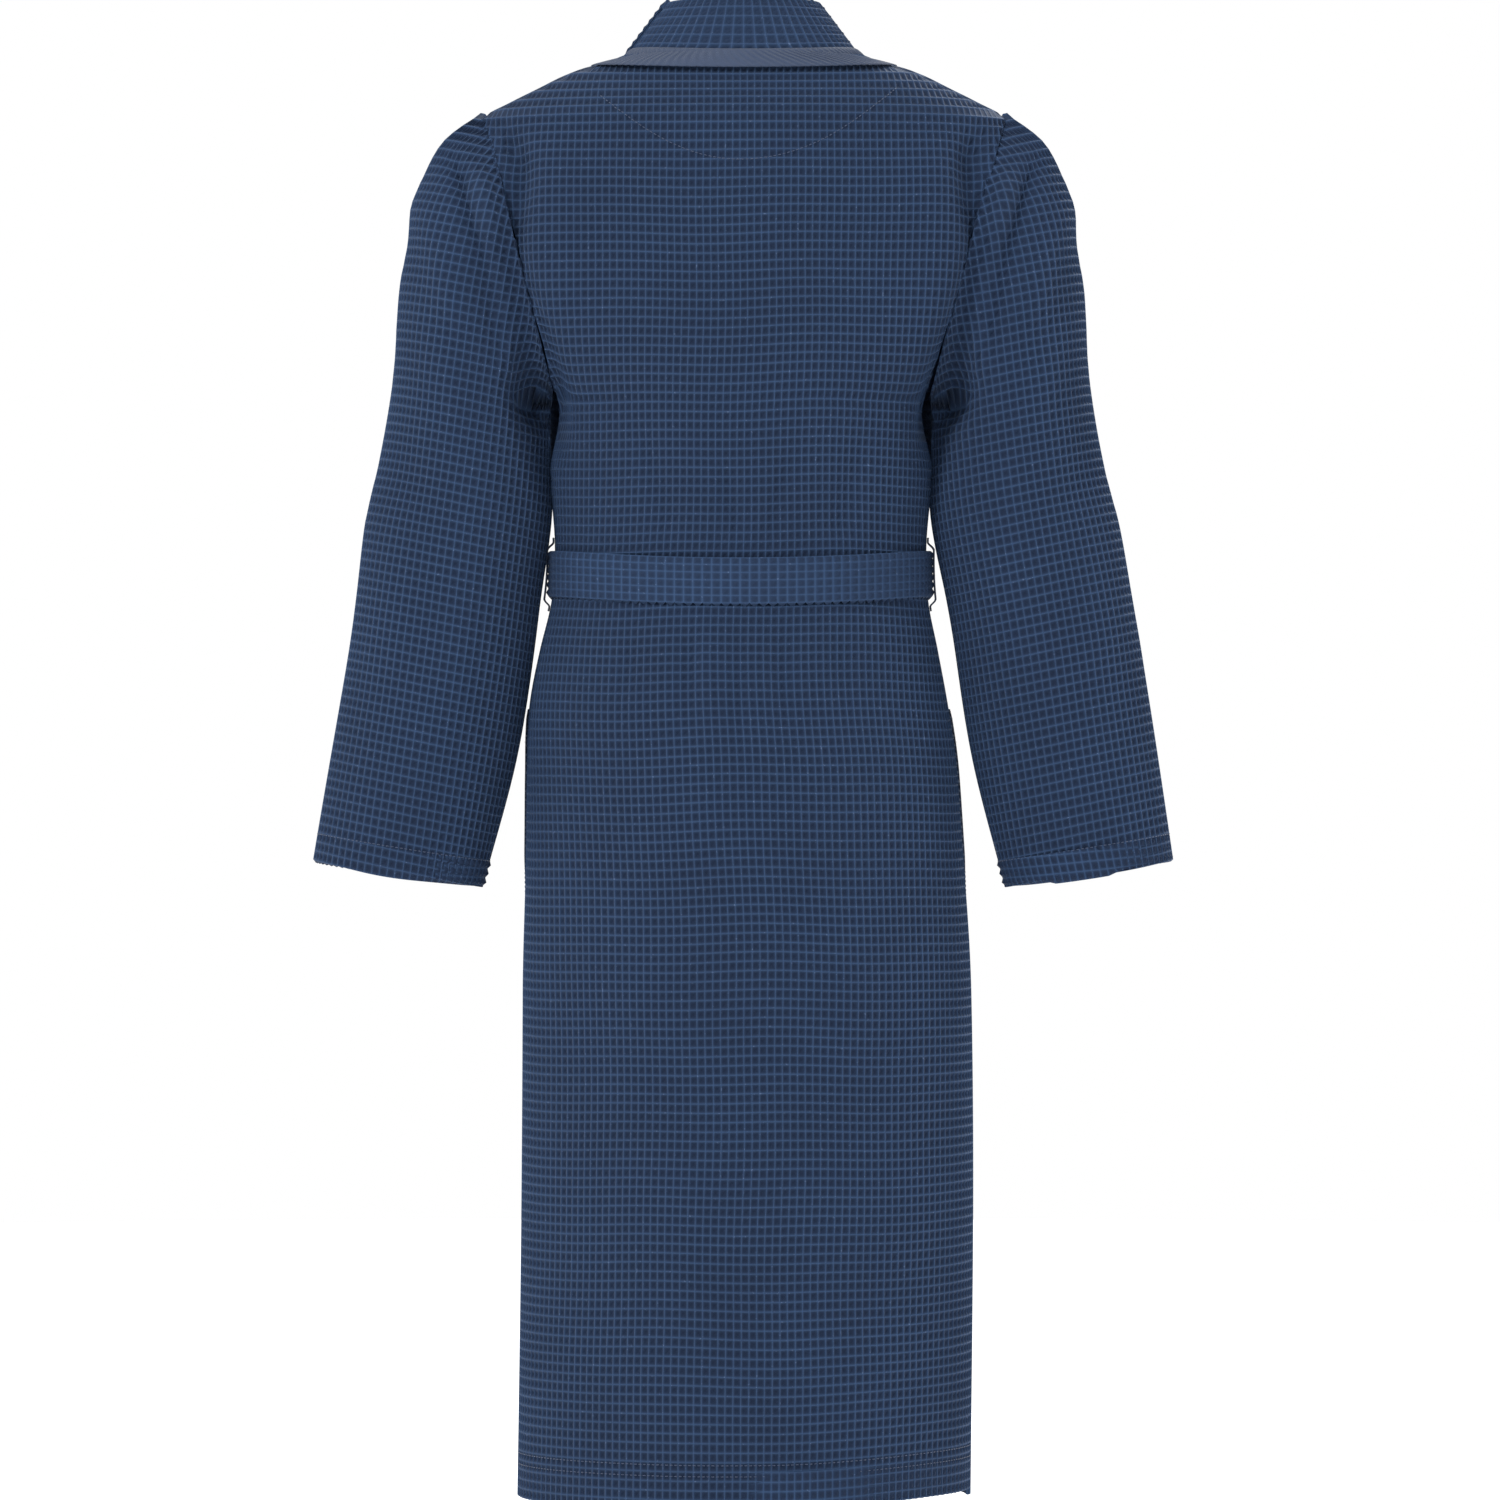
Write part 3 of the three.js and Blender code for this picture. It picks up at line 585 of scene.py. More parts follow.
class Graph:
    """One material's node tree, with a single way to add a node."""

    def __init__(self, name: str) -> None:
        """Starts an empty material with a Principled shader on its output."""
        self.material = bpy.data.materials.new(name)
        self.material.use_nodes = True
        self.tree = self.material.node_tree
        self.tree.nodes.clear()
        self.shader = self.tree.nodes.new("ShaderNodeBsdfPrincipled")
        output = self.tree.nodes.new("ShaderNodeOutputMaterial")
        self.tree.links.new(self.shader.outputs[0], output.inputs["Surface"])

    def node(self, kind: str, settings: dict, inputs: dict, output: int | str = 0) -> Sock:
        """Adds a node.

        Args:
            kind: the node's type.
            settings: its settings, set first.
            inputs: values or sockets for its inputs, by name or number.
            output: the output to hand back.

        Returns:
            That output.
        """
        made = self.tree.nodes.new(kind)
        for key, value in settings.items():
            setattr(made, key, value)
        for key, value in inputs.items():
            self.feed(made.inputs[key], value)
        return Sock(self, made.outputs[output])

    def feed(self, socket: bpy.types.NodeSocket, value: "Sock | float | Sequence[float]") -> None:
        """Links a socket, or sets its value."""
        if isinstance(value, Sock):
            self.tree.links.new(value.socket, socket)
        else:
            socket.default_value = value

    def set(self, name: str, value: "Sock | float | Sequence[float]") -> None:
        """Feeds one of the shader's own sockets."""
        self.feed(self.shader.inputs[name], value)

    def noise(self, scale: float, detail: float = 2.0) -> Sock:
        """Noise over the object's own place, around 0.5."""
        place = self.node("ShaderNodeTexCoord", {}, {}, "Object")
        return self.node("ShaderNodeTexNoise", {}, {"Vector": place, "Scale": scale, "Detail": detail})

    def mix(self, factor: "Sock | float", low: "Sock | Sequence[float]",
            high: "Sock | Sequence[float]") -> Sock:
        """A colour between two."""
        settings = {"data_type": "RGBA"}
        return self.node("ShaderNodeMix", settings, {0: factor, 6: low, 7: high}, 2)

    def weave_place(self) -> tuple[Sock, Sock]:
        """The place in the weave, counted in cells across and along."""
        place = self.node("ShaderNodeUVMap", {"uv_map": "weave"}, {})
        split = self.node("ShaderNodeSeparateXYZ", {}, {0: place}, "X")
        return split, Sock(self, split.socket.node.outputs["Y"])

    def bump(self, height: Sock, strength: float, distance: float) -> None:
        """Roughens the surface by a height."""
        inputs = {"Strength": strength, "Distance": distance, "Height": height}
        normal = self.node("ShaderNodeBump", {}, inputs)
        self.set("Normal", normal)


@dataclass(frozen=True)
class WaffleFinish:
    """Matt navy waffle cloth: light ridges round pits darkened by painted shade, in cotton yarn.

    Attributes:
        name: the material's name.
        ridge: the colour of the raised yarns.
        pit: the colour down in the cells, a painted shade that darkens the cloth there.
        contrast: how strongly the painted shade in the cells shows, from 0 to 1.
    """

    name: str
    ridge: tuple[float, float, float, float] = linear(47, 70, 102)
    pit: tuple[float, float, float, float] = linear(12, 29, 53)
    contrast: float = 1.0

    YARNS: ClassVar[float] = 5.0

    def make(self) -> bpy.types.Material:
        """Builds the material."""
        g = Graph(self.name)
        u, v = g.weave_place()
        from_side = (u.fraction() - 0.5).size() * 2.0
        from_end = (v.fraction() - 0.5).size() * 2.0
        pit = (1.0 - from_side ** 4.5) * (1.0 - from_end ** 4.5)
        yarns_along = (v * (2 * math.pi * self.YARNS)).sine() * 0.5 + 0.5
        yarns_across = (u * (2 * math.pi * self.YARNS)).sine() * 0.5 + 0.5
        fuzz = g.noise(900.0, 3.0)
        blotch = g.noise(14.0, 2.0)
        lint = g.noise(420.0, 1.0).over(0.735)
        # Painted shade: the cloth's colour is darkened down in each waffle cell, where shade falls.
        depth = pit * (0.82 + fuzz * 0.3) * self.contrast
        cloth = g.mix(depth, self.ridge, self.pit)
        twist = (yarns_along * from_side ** 4.0 + yarns_across * from_end ** 4.0) * 0.35
        shade = twist * 0.35 + (fuzz - 0.5) * 0.9 + (blotch - 0.5) * 0.5 + 0.5
        darker = g.mix(shade, linear(196, 198, 204), linear(255, 255, 255))
        tinted = g.node("ShaderNodeMix", {"data_type": "RGBA", "blend_type": "MULTIPLY"},
                        {0: 1.0, 6: cloth, 7: darker}, 2)
        flecked = g.mix(lint * 0.35 * (1.0 - pit), tinted, linear(110, 128, 160))
        g.set("Base Color", flecked)
        g.set("Roughness", 0.86 + (fuzz - 0.5) * 0.12)
        g.set("Sheen Weight", 0.12)
        g.set("Sheen Roughness", 0.45)
        g.set("Sheen Tint", linear(150, 175, 215))
        g.set("Specular IOR Level", 0.22)
        height = (1.0 - pit) * 0.75 + twist * 0.25 + (fuzz - 0.5) * 0.22
        g.bump(height, 0.75, 0.0011)
        return g.material


@dataclass(frozen=True)
class TapeFinish:
    """Plain-woven cotton tape, with fine ribs along and across it.

    Attributes:
        name: the material's name.
        colour: the colour of its ribs.
        ribs: how many there are in one cell of the weave.
    """

    name: str
    colour: tuple[float, float, float, float] = linear(38, 53, 80)
    ribs: float = 4.2

    def make(self) -> bpy.types.Material:
        """Builds the material."""
        g = Graph(self.name)
        u, v = g.weave_place()
        turns = 2 * math.pi * self.ribs
        ribs = (u * turns).sine() * 0.5 + 0.5
        cross = (v * turns).sine() * 0.5 + 0.5
        fuzz = g.noise(1100.0, 3.0)
        tone = ribs * 0.35 + cross * 0.2 + fuzz * 0.45
        deep = tuple(0.6 * c for c in self.colour[:3]) + (1.0,)
        g.set("Base Color", g.mix(tone, deep, self.colour))
        g.set("Roughness", 0.8 + (fuzz - 0.5) * 0.15)
        g.set("Sheen Weight", 0.1)
        g.bump(ribs * 0.5 + cross * 0.3 + fuzz * 0.3, 0.6, 0.0004)
        return g.material


@dataclass(frozen=True)
class ThreadFinish:
    """Twisted sewing thread, a little shinier than the cloth."""

    name: str
    colour: tuple[float, float, float, float] = linear(78, 100, 138)

    def make(self) -> bpy.types.Material:
        """Builds the material."""
        g = Graph(self.name)
        fuzz = g.noise(2500.0, 2.0)
        dark = tuple(0.55 * c for c in self.colour[:3]) + (1.0,)
        g.set("Base Color", g.mix(fuzz, dark, self.colour))
        g.set("Roughness", 0.5 + (fuzz - 0.5) * 0.3)
        g.set("Sheen Weight", 0.2)
        g.bump(fuzz, 0.5, 0.0002)
        return g.material


@dataclass(frozen=True)
class SatinFinish:
    """The blank woven label: pale satin with fine threads along it."""

    name: str = "label satin"

    def make(self) -> bpy.types.Material:
        """Builds the material."""
        g = Graph(self.name)
        _, v = g.weave_place()
        threads = (v * 60.0).sine() * 0.5 + 0.5
        fuzz = g.noise(700.0, 2.0)
        tone = threads * 0.5 + fuzz * 0.5
        g.set("Base Color", g.mix(tone, linear(196, 198, 204), linear(226, 227, 230)))
        g.set("Roughness", 0.38 + fuzz * 0.15)
        g.bump(threads, 0.4, 0.0002)
        return g.material


@dataclass(frozen=True)
class FloorFinish:
    """The studio floor: pale matt paper."""

    name: str = "studio paper"

    def make(self) -> bpy.types.Material:
        """Builds the material."""
        g = Graph(self.name)
        grain = g.noise(6.0, 3.0)
        g.set("Base Color", g.mix(grain, (0.9, 0.9, 0.9, 1), (0.94, 0.94, 0.94, 1)))
        g.set("Roughness", 0.95)
        g.set("Specular IOR Level", 0.1)
        g.set("Emission Color", (1.0, 1.0, 1.0, 1.0))
        g.set("Emission Strength", 0.35)
        return g.material


class Finishes:
    """The robe's materials, each made once."""

    def __init__(self) -> None:
        """Makes every finish."""
        self.body = WaffleFinish("waffle cloth").make()
        # The bands and the facing get weaker painted shade in their waffle cells.
        self.band = WaffleFinish("band waffle cloth", contrast=0.85).make()
        self.inside = WaffleFinish("facing waffle cloth", contrast=0.6).make()
        self.tape = TapeFinish("cotton tape").make()
        self.binding = TapeFinish("bias binding", linear(48, 64, 92)).make()
        self.thread = ThreadFinish("topstitch thread").make()
        self.dark_thread = ThreadFinish("seam thread", linear(44, 61, 92)).make()
        self.satin = SatinFinish().make()


def dress(piece: bpy.types.Object, material: bpy.types.Material) -> bpy.types.Object:
    """Gives a piece its material."""
    piece.name = piece.name.replace(" ", "_")
    piece.data.materials.clear()
    piece.data.materials.append(material)
    log.info("%s: %d faces", piece.name, len(piece.data.polygons))
    return piece


# ---- Stitching -------------------------------------------------------------------------------
@dataclass
class Seam:
    """A run of stitches that lie on a cloth.

    Attributes:
        name: the piece's name.
        points: places that the run goes through, in the frame.
        away: the direction off the cloth at each of them.
        pitch: from one stitch to the next.
        length: of one stitch.
        gauge: thickness of the thread.
    """

    name: str
    points: Array
    away: Array
    pitch: float = 0.0038
    length: float = 0.0029
    gauge: float = 0.00075

    def build(self) -> bpy.types.Object:
        """Sews the stitches along the run."""
        steps = np.linalg.norm(np.diff(self.points, axis=0), axis=1)
        distance = np.concatenate([[0.0], np.cumsum(steps)])
        count = max(int(distance[-1] / self.pitch), 1)
        bm = bmesh.new()
        for i in range(count):
            middle = (i + 0.5) * distance[-1] / count
            here, before, after = (
                Vector([np.interp(d, distance, self.points[:, k]) for k in range(3)])
                for d in (middle, middle - 0.5 * self.length, middle + 0.5 * self.length)
            )
            off = Vector([np.interp(middle, distance, self.away[:, k]) for k in range(3)]).normalized()
            run = (after - before).normalized()
            side = off.cross(run).normalized()
            turn = Matrix((run, side, run.cross(side))).transposed().to_4x4()
            shape = Matrix.Diagonal((0.5 * self.length, 0.5 * self.gauge, 0.45 * self.gauge, 1.0))
            place = Matrix.Translation(here + off * 0.2 * self.gauge) @ turn @ shape
            bmesh.ops.create_icosphere(bm, subdivisions=1, radius=1.0, matrix=place)
        mesh = bpy.data.meshes.new(self.name)
        bm.to_mesh(mesh)
        bm.free()
        mesh.polygons.foreach_set("use_smooth", np.ones(len(mesh.polygons), bool))
        piece = bpy.data.objects.new(self.name, mesh)
        bpy.context.collection.objects.link(piece)
        return piece


def sew(cut: Cut, name: str, path: Path, lift: float = 0.0, **sizes: float) -> bpy.types.Object:
    """Sews a run of stitches on a draped cut.

    Args:
        cut: the cloth that it lies on.
        name: the piece's name.
        path: (across, along) places on the flat cut.
        lift: how far the thread's middle stands off the cloth's face.
        sizes: the stitches' own sizes, where they differ from Seam's.

    Returns:
        The piece.
    """
    flat = np.array(path, float)
    lengths = np.concatenate([[0.0], np.cumsum(np.linalg.norm(np.diff(flat, axis=0), axis=1))])
    places = np.linspace(0.0, lengths[-1], max(int(lengths[-1] / 0.004), 8))
    across, along = (np.interp(places, lengths, flat[:, k]) for k in (0, 1))
    on_cloth = cut.drape(across, along, lift)
    away = (cut.drape(across, along, lift + 0.001) - on_cloth) / 0.001
    return Seam(name, on_cloth, away, **sizes).build()


# ---- Cloth shapes ---------------------------------------------------------------------------
OUTER = 0.0012
WRAP_LIFT = 0.0036
BAND_WIDTH = 0.054
BAND_THICKNESS = 0.0038
BAND_TOP = 1.202
BAND_TURNING_GAP = 0.004
FOLD = 0.0019
COLLAR_HEIGHT = 0.045
COLLAR_QUARTER = 0.115
COLLAR_REACH = 0.1222
COLLAR_TUCK = 0.0045
HEM_DEPTH = 0.033
HEM_RISE = 0.0065
HEM_STITCH_REACH = 0.235
HEM_STITCH_DROP = 0.003
CUFF_HEM_DEPTH = 0.025
SEAM_GAP = 0.0004
BACK_HALF = 0.25
FACING_HALF = 0.127
FACING_FOOT = 1.1035
FACING_RISE = 0.068
FACING_SPAN = 0.13
FACING_DEPTH = 0.0052
LABEL_DEPTH = 0.0072
ALLOWANCE_DEPTH = 0.0040
ALLOWANCE_WIDTH = 0.012
BELT_WIDTH = 0.039
BELT_THICKNESS = 0.0032
BELT_BACK_DIP = 0.008
BELT_OFF_BACK = 0.0041
BELT_OFF_FRONT = 0.0083
BELT_STITCH_INSET = 0.0045

take_up = through([(0, 1.0), (0.58, 1.0), (0.70, 0.985), (0.766, 0.955), (0.84, 0.945), (1.24, 0.94)])
band_seam = through([(0, -0.016), (0.7465, -0.016), (0.7855, -0.012), (0.906, 0.014), (1.026, 0.0462),
                     (1.146, 0.0839), (1.195, 0.09498)])
band_turn = through([(0, math.pi / 2), (0.906, math.pi / 2), (1.146, math.radians(62)),
                     (1.195, math.radians(37.07))])
BACK_CREASES = (
    Crease(((0.009, 0.79), (0.012, 0.82), (0.018, 0.86)), -0.0035, 0.016),
    Crease(((-0.022, 0.79), (-0.026, 0.82), (-0.034, 0.87)), -0.003, 0.015),
    Crease(((0.06, 0.79), (0.07, 0.83), (0.09, 0.90)), -0.0025, 0.022),
    Crease(((-0.075, 0.79), (-0.085, 0.83), (-0.10, 0.90)), -0.0022, 0.022),
    Crease(((0.044, 0.744), (0.046, 0.69), (0.05, 0.60)), -0.004, 0.016, 0.6),
    Crease(((0.034, 0.744), (0.033, 0.68), (0.03, 0.58)), 0.002, 0.014, 0.6),
    Crease(((0.0065, 0.744), (0.006, 0.67), (0.004, 0.57)), -0.0035, 0.017, 0.6),
    Crease(((-0.029, 0.744), (-0.031, 0.68), (-0.036, 0.59)), -0.0035, 0.017, 0.6),
    Crease(((-0.075, 0.744), (-0.08, 0.69), (-0.088, 0.62)), -0.002, 0.02, 0.6),
    Crease(((0.09, 0.744), (0.096, 0.69), (0.105, 0.63)), -0.002, 0.02, 0.6),
    Crease(((0.2117, 1.145), (0.187, 1.10), (0.1915, 1.033), (0.1735, 0.957), (0.1594, 0.906), (0.157, 0.84)),
           -0.013, 0.026, 0.2),
    Crease(((0.185, 1.14), (0.160, 1.09), (0.158, 1.02), (0.150, 0.95)), 0.0035, 0.045),
    Crease(((-0.2, 1.14), (-0.187, 1.10), (-0.193, 1.03), (-0.175, 0.957), (-0.160, 0.906), (-0.153, 0.84)),
           -0.013, 0.026, 0.2),
    Crease(((-0.175, 1.14), (-0.158, 1.09), (-0.158, 1.02), (-0.148, 0.95)), 0.0035, 0.045),
)


def wall_relief(wall: Wall) -> Callable[[Array], Array]:
    """Folds and slow undulations of the back or the front."""
    phase = 0.0 if wall is Wall.BACK else 1.7
    creases = BACK_CREASES if wall is Wall.BACK else BACK_CREASES[:4]

    def relief(points: Array) -> Array:
        """How far the cloth lifts at each point."""
        x, z = points[:, 0], points[:, 2]
        skirt = 1.0 - smoothstep(0.35, 0.74, z)
        waves = np.sin(x * 24.0 + 2.0 * z + phase) + 0.6 * np.sin(x * 43.0 - 3.0 * z + 2 * phase)
        lift = 0.0013 * waves * skirt + 0.0007 * np.sin(9.0 * z + 11.0 * x + phase)
        lift = lift * (1.0 - smoothstep(0.78, 0.97, np.abs(x) / ROBE.half_width(z)))
        for crease in creases:
            lift = lift + crease.lift(x, z)
        return lift

    return relief


def inner_relief(points: Array) -> Array:
    """The back's folds, for the pieces that lie inside it and face the other way."""
    return -wall_relief(Wall.BACK)(points)


def turned(past: Array, radius: float = FOLD) -> tuple[Array, Array]:
    """Turns a cloth's edge under.

    Args:
        past: distance from the fold into the visible cloth, negative on the turned part.
        radius: of the fold.

    Returns:
        The distance from the fold line on the body, and the depth below the outer face.
    """
    into = radius - past
    turn = np.clip(into / radius, 0.0, math.pi)
    beyond = np.maximum(into - math.pi * radius, 0.0)
    place = np.where(into <= 0, past, radius * (1 - np.sin(turn)) + beyond)
    return place, radius * (1 - np.cos(turn))


def turned_length(depth: float, radius: float = FOLD) -> float:
    """How much cloth a turning of that depth takes past the fold line."""
    return (math.pi - 1.0) * radius + depth - radius


def back_point(across: Array, along: Array, lift: Array | float = 0.0) -> Array:
    """A place on the flat back, hanging. The hem is turned up below height 0."""
    z, depth = turned(along)
    free = 1.0 - (across / BACK_HALF) ** 2
    free = np.clip(free, 0.0, 1.0) * smoothstep(0.03, 0.15, z) * (1.0 - smoothstep(1.05, 1.16, z))
    sway = 0.0011 * np.sin(11.0 * z + 9.0 * across) + 0.0006 * np.sin(37.0 * z - 15.0 * across)
    sag = 0.0016 * np.sin(16.0 * across + 4.0 * z) + 0.0008 * np.sin(41.0 * across - 9.0 * z)
    across, z = across + sway * free, z + sag * free
    angle = ROBE.rings[Wall.BACK].angle(z, across * take_up(z))
    points = ROBE.on_wall(Wall.BACK, angle, z, OUTER - depth + lift)
    rise = np.clip((z - ROBE.shoulder) / (ROBE.neck - ROBE.shoulder), 0.0, 1.0)
    points[:, 2] -= ROBE.neck_dip * np.cos(angle) ** 2 * rise
    points[:, 2] += HEM_RISE * smoothstep(0.02, 0.19, -points[:, 0]) * (1 - smoothstep(0.0, 0.45, z))
    return points


def back_place(x: float, z: float) -> tuple[float, float]:
    """The flat place on the back that hangs at x and a height."""
    level = np.array([z])
    arc = ROBE.rings[Wall.BACK].arc(level, ROBE.angle_at(np.array([x]), level))
    return float((arc / take_up(level))[0]), z


def back_edge(z: Array) -> Array:
    """The flat back's half width at each height."""
    level = np.maximum(z, 0.0)
    return ROBE.rings[Wall.BACK].arc(level, ROBE.seam_angle(level)) / take_up(level) - SEAM_GAP


def facing_foot(x: Array | float) -> Array | float:
    """The height of the neck facing's curved lower edge."""
    return FACING_FOOT + FACING_RISE * (x / FACING_SPAN) ** 2


def front_arcs(z: Array) -> tuple[Array, Array]:
    """Arcs from the centre front to the side seam and to the band seam."""
    rings = ROBE.rings[Wall.FRONT]
    seam_x = np.minimum(band_seam(z), ROBE.half_width(z) - 0.0005)
    return rings.arc(z, ROBE.seam_angle(z)), rings.arc(z, ROBE.angle_at(seam_x, z))


def front_point(side: Side, across: Array, along: Array, lift: Array | float = 0.0) -> Array:
    """A place on a flat front, hanging. Across runs from the centre front to its own side."""
    z, depth = turned(along)
    angle = ROBE.rings[Wall.FRONT].angle(z, across)
    seam, band = front_arcs(z)
    share = (seam - across) / np.maximum(seam - band, 1e-6)
    wrap = side.value * WRAP_LIFT * smoothstep(0.1, 0.75, share)
    return ROBE.on_wall(Wall.FRONT, side.value * angle, z, OUTER + wrap - depth + lift)


def band_point(side: Side, across: Array, along: Array, lift: Array | float = 0.0) -> Array:
    """A place on a flat front band, folded along its free edge."""
    place, depth = turned(BAND_WIDTH - across)
    v = BAND_WIDTH - place
    turn = band_turn(along)
    x = np.minimum(band_seam(along), ROBE.half_width(along) - 0.0005) - v * np.sin(turn)
    height = along + v * np.cos(turn)
    wrap = side.value * WRAP_LIFT + 0.5 * BAND_THICKNESS
    angle = side.value * ROBE.angle_at(x, height)
    return ROBE.on_wall(Wall.FRONT, angle, height, wrap - depth + lift)


def collar_point(across: Array, along: Array, lift: Array | float = 0.0) -> Array:
    """A place on the flat back collar band, folded along its top."""
    place, depth = turned(COLLAR_HEIGHT - along)
    angle = across / COLLAR_QUARTER * (math.pi / 2)
    low = ROBE.neck_seam(angle) - COLLAR_TUCK
    z = low + (COLLAR_HEIGHT - place) / COLLAR_HEIGHT * (ROBE.collar - low)
    return ROBE.on_wall(Wall.BACK, angle, z, 0.5 * BAND_THICKNESS - depth + lift)


class SleeveShape:
    """The hanging sleeve, as rings square to the arm."""

    LENGTH = 0.635
    CUFF = 0.140
    CUFF_TILT = math.radians(9)
    SKIRT_SIDE = 0.1815
    CLEAR_OF_SKIRT = 0.036
    SHOULDER_TIP = (0.218, 1.146)
    UNDERARM = (0.1645, 0.906)
    ABOVE = 0.06
    ARMHOLE_TUCK = 0.003
    CAP_TOP = -0.003
    SEAM_LAP = 0.0008
    BEND = (UNDERARM, (0.2835, 0.832))

    def __init__(self) -> None:
        """Works out the arm's line and its rings, for the wearer's left."""
        tilt = self.CUFF_TILT
        cuff_side = self.SKIRT_SIDE + self.CLEAR_OF_SKIRT + self.CUFF * math.cos(tilt)
        self.top = np.array(self.SHOULDER_TIP)
        lean = math.asin((cuff_side - self.top[0]) / self.LENGTH)
        self.down = np.array([math.sin(lean), -math.cos(lean)])
        self.out = np.array([math.cos(lean), math.sin(lean)])
        under = np.array(self.UNDERARM)
        cuff_outer = self.top + self.down * self.LENGTH
        cuff_inner = cuff_outer - self.CUFF * np.array([math.cos(tilt), math.sin(tilt)])
        share = np.linspace(0, 1, 60)
        bulge = through([(0, 0), (0.055, 0.026), (0.125, 0.034), (0.39, 0.022), (0.65, 0.013), (1, 0)])
        sag = through([(0, -0.0045), (0.1, -0.0098), (0.2, -0.0165), (0.27, -0.0175), (0.4, -0.0155),
                       (0.72, -0.014), (1, 0)])
        inner = under + share[:, None] * (cuff_inner - under)
        inner[:, 0] += sag(share)
        inner_t = (inner - self.top) @ self.down
        inner_o = (inner - self.top) @ self.out
        slope = (inner_o[6] - inner_o[0]) / (inner_t[6] - inner_t[0])
        inner_t = np.concatenate([[-self.ABOVE], inner_t, [inner_t[-1] + 0.05]])
        first = inner_o[0] + slope * (-self.ABOVE - inner_t[1]) * 0.35
        inner_o = np.concatenate([[first], inner_o, [inner_o[-1]]])
        levels = np.linspace(-self.ABOVE, self.LENGTH + 0.01, 200)
        self.outer = bulge(levels / self.LENGTH)
        self.inner = np.interp(levels, inner_t, inner_o)
        half = 0.5 * (self.outer - self.inner)
        depth = through([(0, 0.070), (0.4, 0.066), (1, 0.055)])(levels / self.LENGTH)
        self.levels, self.half, self.deep = levels, half, depth
        self.table = RingTable(levels, depth, half, math.pi)
        self.turns = np.linspace(0.0, math.pi, 91)
        self.cap = np.array([self._cap(turn) for turn in self.turns])
        self.inner_end = float((cuff_inner - self.top) @ self.down)

    def section(self, level: Array, turn: Array) -> Array:
        """Points (x, height) in the middle plane at a level and a turn from the outer edge."""
        outer = np.interp(level, self.levels, self.outer)
        half = np.interp(level, self.levels, self.half)
        off = outer - half * (1 - np.cos(turn))
        return self.top + level[:, None] * self.down + off[:, None] * self.out

    def _cap(self, turn: float) -> float:
        """Where the armhole line cuts the sleeve at a turn."""
        level = np.linspace(-0.055, 0.33, 400)
        place = self.section(level, np.full(400, turn))
        slope = (ROBE.shoulder_half - ROBE.underarm_half) / (ROBE.shoulder - ROBE.underarm)
        line = ROBE.underarm_half + slope * (place[:, 1] - ROBE.underarm) - self.ARMHOLE_TUCK
        past = place[:, 0] > line
        last = int(np.max(np.where(~past)[0], initial=0))
        return max(float(level[last]), self.CAP_TOP)

    def edge(self, turn: Array) -> Array:
        """The cuff's level at a turn."""
        return self.LENGTH - 0.5 * (self.LENGTH - self.inner_end) * (1 - np.cos(turn))

    def point(self, side: Side, across: Array, along: Array, lift: Array | float = 0.0) -> Array:
        """A place on the flat sleeve, hanging.

        Args:
            side: the wearer's left or right.
            across: round the arm from the outer edge, positive at the back.
            along: down from the shoulder, turned up inside past the cuff's edge.
            lift: how far off the outer face.

        Returns:
            Points of the robe.
        """
        turn = self.table.angle(np.minimum(along, self.LENGTH), across)
        end = self.edge(turn)
        place, depth = turned(end - along)
        level = end - place
        flat = self.section(level, turn)
        half = np.interp(level, self.levels, self.half)
        deep = np.interp(level, self.levels, self.deep)
        normal_out, normal_y = deep * np.cos(turn), half * np.sin(turn)
        scale = (OUTER - depth + lift) / np.maximum(np.hypot(normal_out, normal_y), 1e-6)
        flat = flat + (normal_out * scale)[:, None] * self.out
        height = np.clip(flat[:, 1], ROBE.underarm, ROBE.shoulder)
        back = ROBE.depth(Wall.BACK, height) * np.cos(ROBE.seam_angle(height))
        front = ROBE.depth(Wall.FRONT, height) * np.cos(ROBE.seam_angle(height))
        at_body = np.where(turn >= 0, back - self.SEAM_LAP, self.SEAM_LAP - front)
        round_arm = deep * np.sin(turn) + normal_y * scale
        from_cap = level - np.interp(np.abs(turn), self.turns, self.cap)
        reach = 0.07 + 0.03 * (1 - np.cos(turn))
        free = smoothstep(0.0, 1.0, from_cap / reach)
        y = at_body + (round_arm - at_body) * free
        high = np.maximum(1 - free, smoothstep(0.70, 0.84, flat[:, 1]))
        x = side.value * flat[:, 0] + ROBE.shift(flat[:, 1]) * high
        return np.stack([x, y, flat[:, 1]], axis=1)


SLEEVE = SleeveShape()
SLEEVE_CREASES = (
    Crease(((0.206, 1.06), (0.1905, 1.00), (0.176, 0.94), (0.166, 0.88)), -0.012, 0.028, 0.2),
    Crease(((0.222, 1.11), (0.212, 1.06), (0.199, 0.99), (0.186, 0.91)), 0.010, 0.026, 0.25),
    Crease(((0.2473, 1.124), (0.226, 1.065), (0.208, 0.995), (0.195, 0.93)), -0.011, 0.02, 0.25),
    Crease(((0.275, 1.10), (0.252, 1.03), (0.232, 0.95)), 0.006, 0.03),
    Crease(((0.29, 1.05), (0.262, 0.96), (0.23, 0.88)), 0.003, 0.035),
    Crease(((0.2, 0.90), (0.208, 0.80), (0.228, 0.70), (0.25, 0.60)), 0.003, 0.05),
    Crease(((0.30, 0.98), (0.29, 0.88), (0.262, 0.80)), -0.003, 0.04),
    Crease(((0.325, 0.86), (0.30, 0.76), (0.29, 0.66)), 0.0025, 0.045),
)


